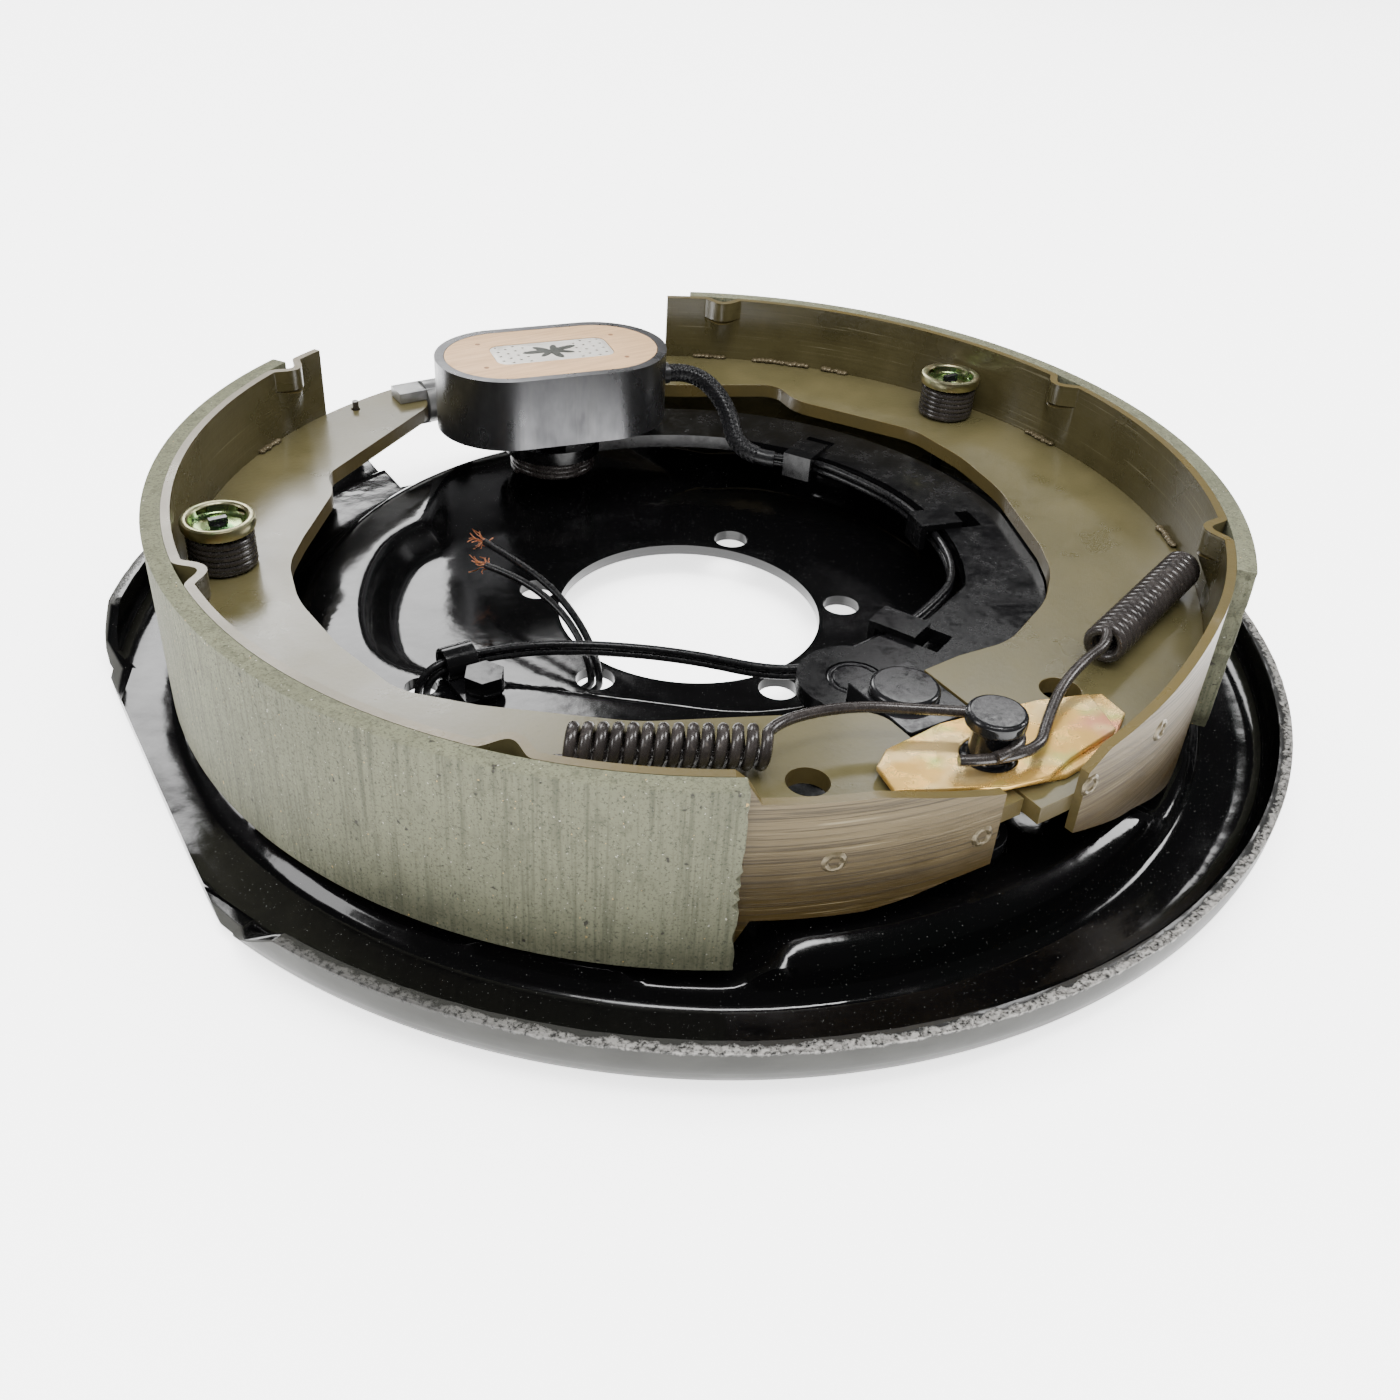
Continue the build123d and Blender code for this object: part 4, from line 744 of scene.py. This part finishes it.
class BRAKE_OT_springs(bpy.types.Operator):
    """Return springs, hold-down springs, magnet spring and adjuster spring as real coils"""

    bl_idname = "brake.springs"
    bl_label = "Springs"

    def execute(self, context):
        s = sizes()
        middle = (s.coil - s.wire) / MM
        self.spring("primary_spring_coil", hooked(PRIMARY_HOOK, PRIMARY_COIL, 13.5, middle, PRIMARY_TAIL), s.wire,
                    "primary_return_spring")
        self.spring("secondary_spring_coil", hooked(SECONDARY_HOOK, SECONDARY_COIL, 19.5, middle, SECONDARY_TAIL),
                    s.wire, "secondary_return_spring")
        left, right = ([(side * 58.5, -130, 33.4), (side * 58.5, -130, 20.1), (side * 32, -142.5, 19.7),
                        (side * 22, -142.5, 19.7)] for side in (-1, 1))
        self.spring("adjuster_spring_coil", hooked(left, ((-22, -142.5, 16), (22, -142.5, 16)), 16, 3.7, right[::-1]),
                    1.1 * MM, "adjuster_spring")
        wire = 1.15
        middle = s.hold_coil / MM - wire
        for side, shoe in SHOES.items():
            low, level, high = ((*shoe["hold"], z) for z in (31.9, 31.95, 41.3))
            foot = helix(low, level, 0.8, middle, -268.0, 32)
            self.spring(side + "_hold_coil", foot[:-1] + helix(low, high, 5.6, middle, 20.0, 32), wire * MM,
                        side + "_hold_spring")
        x, y = MAGNET_SPOT
        self.spring("magnet_spring_coil", helix((x, y, 13.6), (x, y, 19.0), 3.2, 13.7, 0.0, 40), 1.3 * MM,
                    "magnet_spring", "arm")
        return {"FINISHED"}

    def spring(self, name, points, wire, node, body="plate"):
        ride(wire_curve(name, points, wire, "spring_steel", sides=3), body, (node,))


def smooth_max(a, b, k):
    h = max(k - abs(a - b), 0.0) / k
    return max(a, b) + h * h * k * 0.25


def pressed_height(x, y):
    """Height in mm of the stamping's upper face: raised ring, sunk centre, ramp and pads."""
    r, angle = math.hypot(x, y), math.degrees(math.atan2(y, x))
    level = max(RING_TOP - max(0.0, r - RING_END), SHELF_TOP)
    # Distance outside the sunk centre, a circle with four straight sides, their meetings blended over 12 mm
    out = r - 91.3
    for reach, turn in ((60.0, 90.0), (70.0, -90.0), (54.0, 50.0), (75.0, 135.0)):
        side = x * math.cos(math.radians(turn)) + y * math.sin(math.radians(turn)) - reach
        out = smooth_max(out, side, 12.0)
    pocket = DISH_TOP + max(0.0, out)
    # Towards the magnet its floor rises in a ramp that narrows
    if y < -60.0:
        fall = max(0.0, (-70.0 - y) * 0.205)
        half = 52.0 - max(0.0, -69.0 - y) * 0.484
        pocket = min(pocket, DISH_TOP + fall + max(0.0, abs(x) - half))
    level = min(level, pocket)
    # Pads: inner and outer radius, height, middle bearing and width in degrees
    pads = [(117.0, 146.5, 7.4, 88.0, 43.0)]
    pads += [(139.0, 149.0, 2.3, middle, 12.0) for a in (-38.0, 4.0, 46.0) for middle in (a, 180.0 - a)]
    for inner, outer, top, middle, span in pads:
        away = max(inner - r, r - outer, (apart(angle, middle) - span / 2) * math.radians(1) * r, 0.0)
        level = max(level, top - away)
    return level


class BRAKE_OT_backing_plate(bpy.types.Operator):
    """Backing plate: one stamping with its lip, shelf, raised ring, sunk centre and holes"""

    bl_idname = "brake.backing_plate"
    bl_label = "Backing plate"

    def execute(self, context):
        stations = [(HUB_HOLE + i * (130.0 - HUB_HOLE) / 62, 0.0) for i in range(63)]
        stations += [(130.0 + i * 2.6, SHELF_TOP) for i in range(1, 9)]
        bm = spun([*stations, *LIP_LINE], count=336)
        for v in bm.verts:
            x, y = v.co.x / MM, v.co.y / MM
            if math.hypot(x, y) < LIP_LINE[0][0] - 0.6:
                v.co.z = pressed_height(x, y) * MM
        # The press rounds its bends
        soft = [v for v in bm.verts if 60.0 < v.co.xy.length / MM < 150.0]
        for _ in range(5):
            bmesh.ops.smooth_vert(bm, verts=soft, factor=0.5, use_axis_z=True)
        bmesh.ops.recalc_face_normals(bm, faces=bm.faces)
        if sum(f.normal.z for f in bm.faces) < 0:
            bmesh.ops.reverse_faces(bm, faces=bm.faces)
        # The lip's top edge is a little uneven
        for v in bm.verts:
            if v.co.z > 6.3 * MM and v.co.xy.length > 0.172:
                v.co.z += noise.noise(v.co * 300.0) * 0.28 * MM
        # The notch: its three sides are cut in and the faces between them dropped
        for origin, normal in ((at(-46, 0, 0), (1, 0, 0)), (at(45, 0, 0), (1, 0, 0)), (at(0, -128, 0), (0, 1, 0))):
            near = [f for f in bm.faces if f.calc_center_median().y < -0.11 and abs(f.calc_center_median().x) < 0.06]
            parts = dict.fromkeys([v for f in near for v in f.verts] + [e for f in near for e in f.edges] + near)
            bmesh.ops.bisect_plane(bm, geom=list(parts), dist=1e-5, plane_co=origin, plane_no=normal)
        drop_inside(bm, lambda c: -0.046 < c.x < 0.045 and c.y < -0.128)
        # Holes: the flange's studs, the screw, the leads and the hold-down pins
        studs = [(*polar(48.7, angle), 5.7) for angle in (90.0, 24.5, 155.5, -41.0, 221.0)]
        pins = [(*shoe["hold"], 2.6) for shoe in SHOES.values()]
        holes = drills([*studs, (80.0, 22.9, 3.2), (94.0, 11.8, 4.5), *pins], -20, 20)
        chord = block(lambda right, far, high: (190.0 if right else 164.0, 90.0 if far else -90.0,
                                                20.0 if high else -20.0))
        piece(bm, "backing_plate_skin", "plate", ["black_paint"], ("backing_plate",),
              wall=sizes().sheet, even=False, bevel=0.7, rounds=3, corner=50.0, sharp=60.0,
              cutters=[chord, self.run_out(1), self.run_out(-1), holes])
        return {"FINISHED"}

    def run_out(self, side):
        """Where the lip slopes down to the shelf beside the flat chord."""
        turn = Matrix.Rotation(math.radians(23.0 * side), 3, "Z")

        def corner(right, far, high):
            along = (15.0 if high else -7.0) if far == (side > 0) else -30.0
            return turn @ Vector((186.0 if right else 167.7, along * side, 8.0 if high else -5.55))

        return block(corner)


def edge_cut(line, t):
    """How far a table's neck is cut in from its edge, t along the tangent in mm."""
    if t <= line[0][0]:
        return 0.0
    for (t0, s0), (t1, s1) in zip(line, line[1:]):
        if t <= t1:
            return s0 + (s1 - s0) * (t - t0) / (t1 - t0)
    return line[-1][1]


class BRAKE_OT_tables(bpy.types.Operator):
    """Shoe tables with their pressed crimps, necks, gold edges and weld marks"""

    bl_idname = "brake.tables"
    bl_label = "Shoe tables"

    def execute(self, context):
        for side, shoe in SHOES.items():
            self.table(side, shoe)
        return {"FINISHED"}

    def table(self, side, shoe):
        low, high = shoe["table"]
        spots = [low + i * (high - low) / 130 for i in range(131)]
        spots += [a + d * 0.25 for a in shoe["crimps"] for d in range(-12, 13)]
        spots = sorted(a for a in spots if low <= a <= high)
        spots = [spots[0]] + [b for a, b in zip(spots, spots[1:]) if b - a > 0.05]
        rows = [0.0, 0.2, 0.4, 0.6, 0.8, 1.0, 1.02, 1.3, 1.7, 2.0]
        bm = spun([(TABLE_RADIUS, z) for z in rows], count=len(spots) - 1, span=high - low, start=low)
        step = (high - low) / (len(spots) - 1)
        crimps = shoe["crimps"]
        # In mm: height of the band above the slits, half width and depth of a crimp
        band, reach, depth = 7.0, 6.8, 4.9
        # So far a vertex's height only marks its row, 0 to 1 below the slits and 1 to 2 above them; now each one
        # moves to its own bearing and height
        for v in bm.verts:
            share = v.co.z / MM
            index = round(((math.degrees(math.atan2(v.co.y, v.co.x)) - low + 5.0) % 360.0 - 5.0) / step)
            angle = spots[min(index, len(spots) - 1)]
            off_neck = math.radians(angle - shoe["neck_at"])
            t = shoe["turn"] * TABLE_RADIUS * math.sin(off_neck) if math.cos(off_neck) >= 0 else -100.0
            bottom = TABLE_LOW + edge_cut(shoe["low"], t)
            slit = TABLE_HIGH - edge_cut(shoe["high"], t) - band
            radius = TABLE_RADIUS
            if share <= 1.0:
                z = bottom + (slit - bottom) * share
            else:
                z = slit + band * (share - 1.0)
                near = min(abs(angle - a) for a in crimps) * math.radians(TABLE_RADIUS)
                if near < reach:
                    radius -= depth * (0.5 + 0.5 * math.cos(math.pi * min(1.0, near / reach)))
            x, y = polar(radius, angle, shoe["centre"])
            v.co = at(x, y, z)

        def slit_face(c):
            dx, dy = c.x / MM - shoe["centre"][0], c.y / MM - shoe["centre"][1]
            angle = math.degrees(math.atan2(dy, dx))
            return min(apart(angle, a) for a in crimps) < 2.75 and 46.35 < c.z / MM < 46.6

        drop_inside(bm, slit_face)
        face_out(bm, shoe["centre"])
        obj = piece(bm, side + "_table_skin", side + "_shoe",
                    ["olive_paint", "table_inside", "neck", "shoe_edge"], (side + "_table",), wall=sizes().table)
        centre = at(*shoe["centre"], 0)
        for poly in obj.data.polygons:
            out = (poly.center - centre).xy.normalized()
            facing = poly.normal.xy.dot(out)
            angle = math.degrees(math.atan2(out.y, out.x)) % 360.0
            bare = 63.2 < angle < 120.0 if side == "primary" else angle < 128.3
            # Slots of the piece: 0 olive, 1 inside with painted shade, 2 bare neck, 3 edge painted gold brown as a
            # highlight
            if abs(facing) <= 0.6:
                poly.material_index = 3
            elif facing < 0:
                poly.material_index = 1
            else:
                poly.material_index = 2 if bare else 0
        for angle, z in shoe["marks"]:
            self.mark(side, shoe, angle, z)
        self.seam(side, shoe)

    def seam(self, side, shoe):
        """Short runs of weld beads where the web meets the table."""
        dice = random.Random(3)
        bm = bmesh.new()
        inside, web_top = TABLE_RADIUS - 3.1, 31.0
        for start, run in shoe["seams"]:
            for k in range(run):
                ball = bmesh.ops.create_icosphere(bm, subdivisions=2, radius=dice.uniform(1.0, 1.5) * MM)["verts"]
                bmesh.ops.scale(bm, vec=(1.0, 1.0, 0.55), verts=ball)
                x, y = polar(inside + dice.uniform(-0.3, 0.2), start + k * 0.62, shoe["centre"])
                bmesh.ops.translate(bm, vec=at(x, y, web_top + dice.uniform(-0.1, 0.3)), verts=ball)
        for v in bm.verts:
            v.co += Vector((1, 1, 1)) * noise.noise(v.co * 1400.0) * 0.2 * MM
        piece(bm, side + "_seam_beads", side + "_shoe", ["weld"], sharp=80.0)

    def mark(self, side, shoe, angle, z):
        """One ring left by the projection weld on the outside of a table."""
        bm = spun([(1.3, 0.0), (1.6, 0.4), (2.1, 0.55), (2.6, 0.35), (3.0, 0.0)], count=28)
        for v in bm.verts:
            v.co.z += noise.noise(v.co * 900.0 + Vector((angle, 0, 0))) * 0.22 * MM
        x, y = polar(TABLE_RADIUS - 0.05, angle, shoe["centre"])
        turn = Matrix.Rotation(math.radians(angle), 4, "Z") @ Matrix.Rotation(math.radians(90), 4, "Y")
        bmesh.ops.transform(bm, matrix=Matrix.Translation(at(x, y, z)) @ turn, verts=bm.verts)
        piece(bm, f"{side}_weld_ring_{int(angle)}", side + "_shoe", ["weld"])


class BRAKE_OT_linings(bpy.types.Operator):
    """Bonded linings with ground faces and chipped ends"""

    bl_idname = "brake.linings"
    bl_label = "Linings"

    def execute(self, context):
        for side, shoe in SHOES.items():
            low, high = shoe["lining"]
            count = int((high - low) / 0.8)
            line = [(LINING_RADIUS, TABLE_LOW + (TABLE_HIGH - TABLE_LOW) * i / 26) for i in range(27)]
            bm = spun(line, shoe["centre"], count, high - low, low)
            face_out(bm, shoe["centre"])
            centre = at(*shoe["centre"], 0)
            neck_end, way = (high, -1) if side == "primary" else (low, 1)
            # The end beside the neck is chipped back
            for v in bm.verts:
                out = (v.co - centre).xy
                angle = math.degrees(math.atan2(out.y, out.x))
                z = v.co.z / MM
                if apart(angle, neck_end) < 0.3:
                    bite = max(0.0, noise.noise(Vector((z * 0.33, angle, 3.0))) - 0.08) * 3.4
                    if side == "primary" and 4.0 < z < 30.0:
                        bite += max(0.0, noise.noise(Vector((z * 0.55, 7.0, 3.0)))) * 3.6
                    turn = math.radians(bite / LINING_RADIUS * 57.3 * way)
                    x, y = out.x, out.y
                    v.co.x = centre.x + x * math.cos(turn) - y * math.sin(turn)
                    v.co.y = centre.y + x * math.sin(turn) + y * math.cos(turn)
            piece(bm, side + "_lining_block", side + "_shoe", ["lining"], (side + "_lining",),
                  wall=LINING_WALL * MM, bevel=0.35, corner=50.0)
        return {"FINISHED"}


class BRAKE_OT_webs(bpy.types.Operator):
    """Shoe webs with rounded gold edges"""

    bl_idname = "brake.webs"
    bl_label = "Shoe webs"

    def execute(self, context):
        for side in SHOES:
            bm = cad_copy(side + "_web")
            bmesh.ops.recalc_face_normals(bm, faces=bm.faces)
            # Blunt upright corners of the inner outline, away from the ends at the anchor post
            corners = []
            for e in bm.edges:
                a, b = e.verts
                if abs(a.co.z - b.co.z) > 4 * MM and len(e.link_faces) == 2:
                    turn = e.calc_face_angle(0.0)
                    far = (a.co.xy - at(*SHOES[side]["centre"], 0).xy).length / MM
                    if math.radians(9) < turn < math.radians(75) and far < 132 and a.co.y < 0.1:
                        corners.append(e)
            bmesh.ops.bevel(bm, geom=corners, offset=5.0 * MM, affect="EDGES", segments=6, profile=0.5, material=-1,
                            clamp_overlap=True)
            obj = piece(bm, side + "_web_skin", side + "_shoe",
                        ["olive_paint", "shoe_edge"], (side + "_web",), bevel=0.55, rounds=3, edge=1)
            # The upright edge faces take the gold brown, a painted highlight
            for poly in obj.data.polygons:
                if abs(poly.normal.z) < 0.5:
                    poly.material_index = 1
        return {"FINISHED"}


# CAD nodes that only get a finish and broken edges: node, body, finish, width of the bevel in mm
PLAIN = (
    ("anchor_post", "plate", "black_steel", 0.5), ("pivot_stud", "plate", "black_steel", 0.3),
    ("guide_plate_lower", "plate", "gold_zinc", 0.45), ("guide_plate_upper", "plate", "gold_zinc", 0.45),
    ("actuating_arm", "arm", "black_satin", 0.6), ("block_rivet", "arm", "black_steel", 0.5),
    ("actuating_block", "block", "black_steel", 0.6), ("magnet_case", "magnet", "bare_steel", 0.4),
    ("magnet_coil", "magnet", "copper", 0.0), ("magnet_stud", "magnet", "black_steel", 0.4),
    ("primary_hold_pin", "plate", "black_steel", 0.2), ("secondary_hold_pin", "plate", "black_steel", 0.2),
    ("adjuster_socket", "plate", "grey_zinc", 0.5), ("adjuster_nut", "nut", "grey_zinc", 0.5),
    ("star_wheel", "star", "black_steel", 0.25), ("cable_clip", "plate", "black_satin", 0.3),
    ("clip_screw", "plate", "black_satin", 0.4),
)


class BRAKE_OT_fittings(bpy.types.Operator):
    """Studs, pins, rivet, block, arm, guide plates, magnet, adjuster, clip and screw with broken edges"""

    bl_idname = "brake.fittings"
    bl_label = "Fittings"

    def execute(self, context):
        for name, body, slot, width in PLAIN:
            piece(cad_copy(name), name + "_skin", body, [slot], (name,), bevel=width)
        return {"FINISHED"}


def magnet_place(bm):
    """Sets what was made about the origin, top at z = 0, into the magnet's face."""
    turn = Matrix.Translation(at(*MAGNET_SPOT, MAGNET_TOP)) @ Matrix.Rotation(math.radians(MAGNET_TURN), 4, "Z")
    bmesh.ops.transform(bm, matrix=turn, verts=bm.verts)


def round_bar(length, width, corner, depth):
    """A block with its top at z = 0 and its upright corners rounded."""
    bm = bmesh.new()
    bmesh.ops.create_cube(bm, size=1.0)
    bmesh.ops.scale(bm, vec=at(length, width, depth), verts=bm.verts)
    bmesh.ops.translate(bm, vec=at(0, 0, -depth / 2), verts=bm.verts)
    upright = [e for e in bm.edges if abs((e.verts[0].co - e.verts[1].co).z) > 0.5 * depth * MM]
    bmesh.ops.bevel(bm, geom=upright, offset=corner * MM, affect="EDGES", segments=16, profile=0.5, material=-1)
    return bm


class BRAKE_OT_magnet_face(bpy.types.Operator):
    """The magnet's face: friction ring, pierced pole plate, wear pips and star clip"""

    bl_idname = "brake.magnet_face"
    bl_label = "Magnet face"

    def execute(self, context):
        ring = round_bar(73.4, 41.4, 20.69, 5.0)
        magnet_place(ring)
        hole = round_bar(41.0, 17.4, 4.0, 8.0)
        bmesh.ops.translate(hole, vec=at(0, 0, 1.0), verts=hole.verts)
        magnet_place(hole)
        piece(ring, "friction_ring", "magnet", ["friction_ring"], ("magnet_face",), cutters=[hole],
              bevel=0.15, corner=50.0)
        plate = round_bar(40.7, 17.1, 3.85, 20.0)
        bmesh.ops.translate(plate, vec=at(0, 0, -0.12), verts=plate.verts)
        magnet_place(plate)
        pins = bmesh.new()
        for row in range(4):
            for column in range(13):
                x, y = -18.0 + column * 3.0, -6.0 + row * 4.0 + (2.0 if column % 2 else 0.0) - 1.0
                if abs(x) < 7.6 or abs(y) > 7.4:
                    continue  # the star clip's room and the plate's rim stay whole
                pin(pins, (x, y, -0.6), 0.55, 2.0, 12)
        magnet_place(pins)
        piece(plate, "pole_plate", "magnet", ["pole_steel"], ("magnet_core",), cutters=[pins],
              bevel=0.1, corner=60.0)
        for i, (x, y) in enumerate(((-24.0, -9.5), (23.0, -11.5), (-23.0, 11.5), (25.0, 9.5))):
            pip = spun([(0, 0.06), (0.9, 0.05), (1.05, -0.4)], count=16)
            bmesh.ops.translate(pip, vec=at(x, y, -0.05), verts=pip.verts)
            magnet_place(pip)
            piece(pip, f"wear_pip_{i}", "magnet", ["pip"])
        star = bmesh.new()
        bmesh.ops.create_cone(star, cap_ends=True, segments=64, radius1=4.4 * MM, radius2=3.9 * MM, depth=0.3 * MM)
        for v in star.verts:
            turn = math.atan2(v.co.y, v.co.x)
            reach = 1.0 + 0.42 * math.cos(7.0 * turn) + 0.2 * math.cos(3.0 * turn + 1.0) + 0.16 * math.cos(2.0 * turn)
            v.co.x *= reach * 1.5
            v.co.y *= reach * 1.12
        bmesh.ops.translate(star, vec=at(0, 0, -0.16), verts=star.verts)
        magnet_place(star)
        piece(star, "star_clip", "magnet", ["clip_steel"], ("magnet_clip",), bevel=0.08, corner=50.0)
        return {"FINISHED"}


class BRAKE_OT_cups(bpy.types.Operator):
    """Hold-down cups with their bowls and four wall slots"""

    bl_idname = "brake.cups"
    bl_label = "Hold-down cups"

    def execute(self, context):
        line = ((10.0, 42.3), (10.3, 43.2), (10.35, 44.6), (10.1, 45.3), (9.6, 45.6), (8.7, 45.6), (8.2, 45.35),
                (7.9, 44.9), (7.55, 43.5), (7.1, 43.0), (6.2, 42.7), (4.6, 42.9), (3.2, 43.3), (2.2, 43.4))
        for side, shoe in SHOES.items():
            bm = spun(line, count=64)
            # The bowl's floor has to face up before the wall gets its thickness
            if any(f.calc_center_median().xy.length < 0.009 and f.normal.z < -0.2 for f in bm.faces):
                bmesh.ops.reverse_faces(bm, faces=bm.faces)
            for f in bm.faces:
                f.material_index = 1 if f.calc_center_median().xy.length < 7.9 * MM else 0

            def slot(c):
                turn = (math.degrees(math.atan2(c.y, c.x)) - 20.0 + 45.0) % 90.0 - 45.0
                return 7.5 < c.xy.length / MM < 8.0 and abs(turn) < 14.0

            drop_inside(bm, slot)
            bmesh.ops.translate(bm, vec=at(*shoe["hold"], 0), verts=bm.verts)
            piece(bm, side + "_cup_skin", "plate", ["cup_rim", "green_zinc"], (side + "_hold_cup",),
                  wall=0.7 * MM)
        return {"FINISHED"}


class BRAKE_PT_panel(bpy.types.Panel):
    """Every step of the dressed brake"""

    bl_label = "Trailer drum brake"
    bl_space_type = "VIEW_3D"
    bl_region_type = "UI"
    bl_category = "Brake"

    def draw(self, context):
        for group in (context.scene.brake_sizes, context.scene.brake_colours):
            column = self.layout.column(align=True)
            for key in group.__annotations__:
                column.prop(group, key)
        for step in STEPS:
            self.layout.operator(step.bl_idname)


STEPS = (BRAKE_OT_stage, BRAKE_OT_cords, BRAKE_OT_backing_plate, BRAKE_OT_tables, BRAKE_OT_linings, BRAKE_OT_webs,
         BRAKE_OT_fittings, BRAKE_OT_magnet_face, BRAKE_OT_cups, BRAKE_OT_springs)
CLASSES = (BrakeSizes, BrakeColours, *STEPS, BRAKE_PT_panel)


def register():
    for kind in CLASSES:
        bpy.utils.register_class(kind)
    bpy.types.Scene.brake_sizes = bpy.props.PointerProperty(type=BrakeSizes)
    bpy.types.Scene.brake_colours = bpy.props.PointerProperty(type=BrakeColours)


def unregister():
    del bpy.types.Scene.brake_colours
    del bpy.types.Scene.brake_sizes
    for kind in reversed(CLASSES):
        bpy.utils.unregister_class(kind)


def main():
    register()
    mix_finishes()
    for step in STEPS:
        getattr(bpy.ops.brake, step.bl_idname.split(".")[1])()


if __name__ == "__main__":
    main()
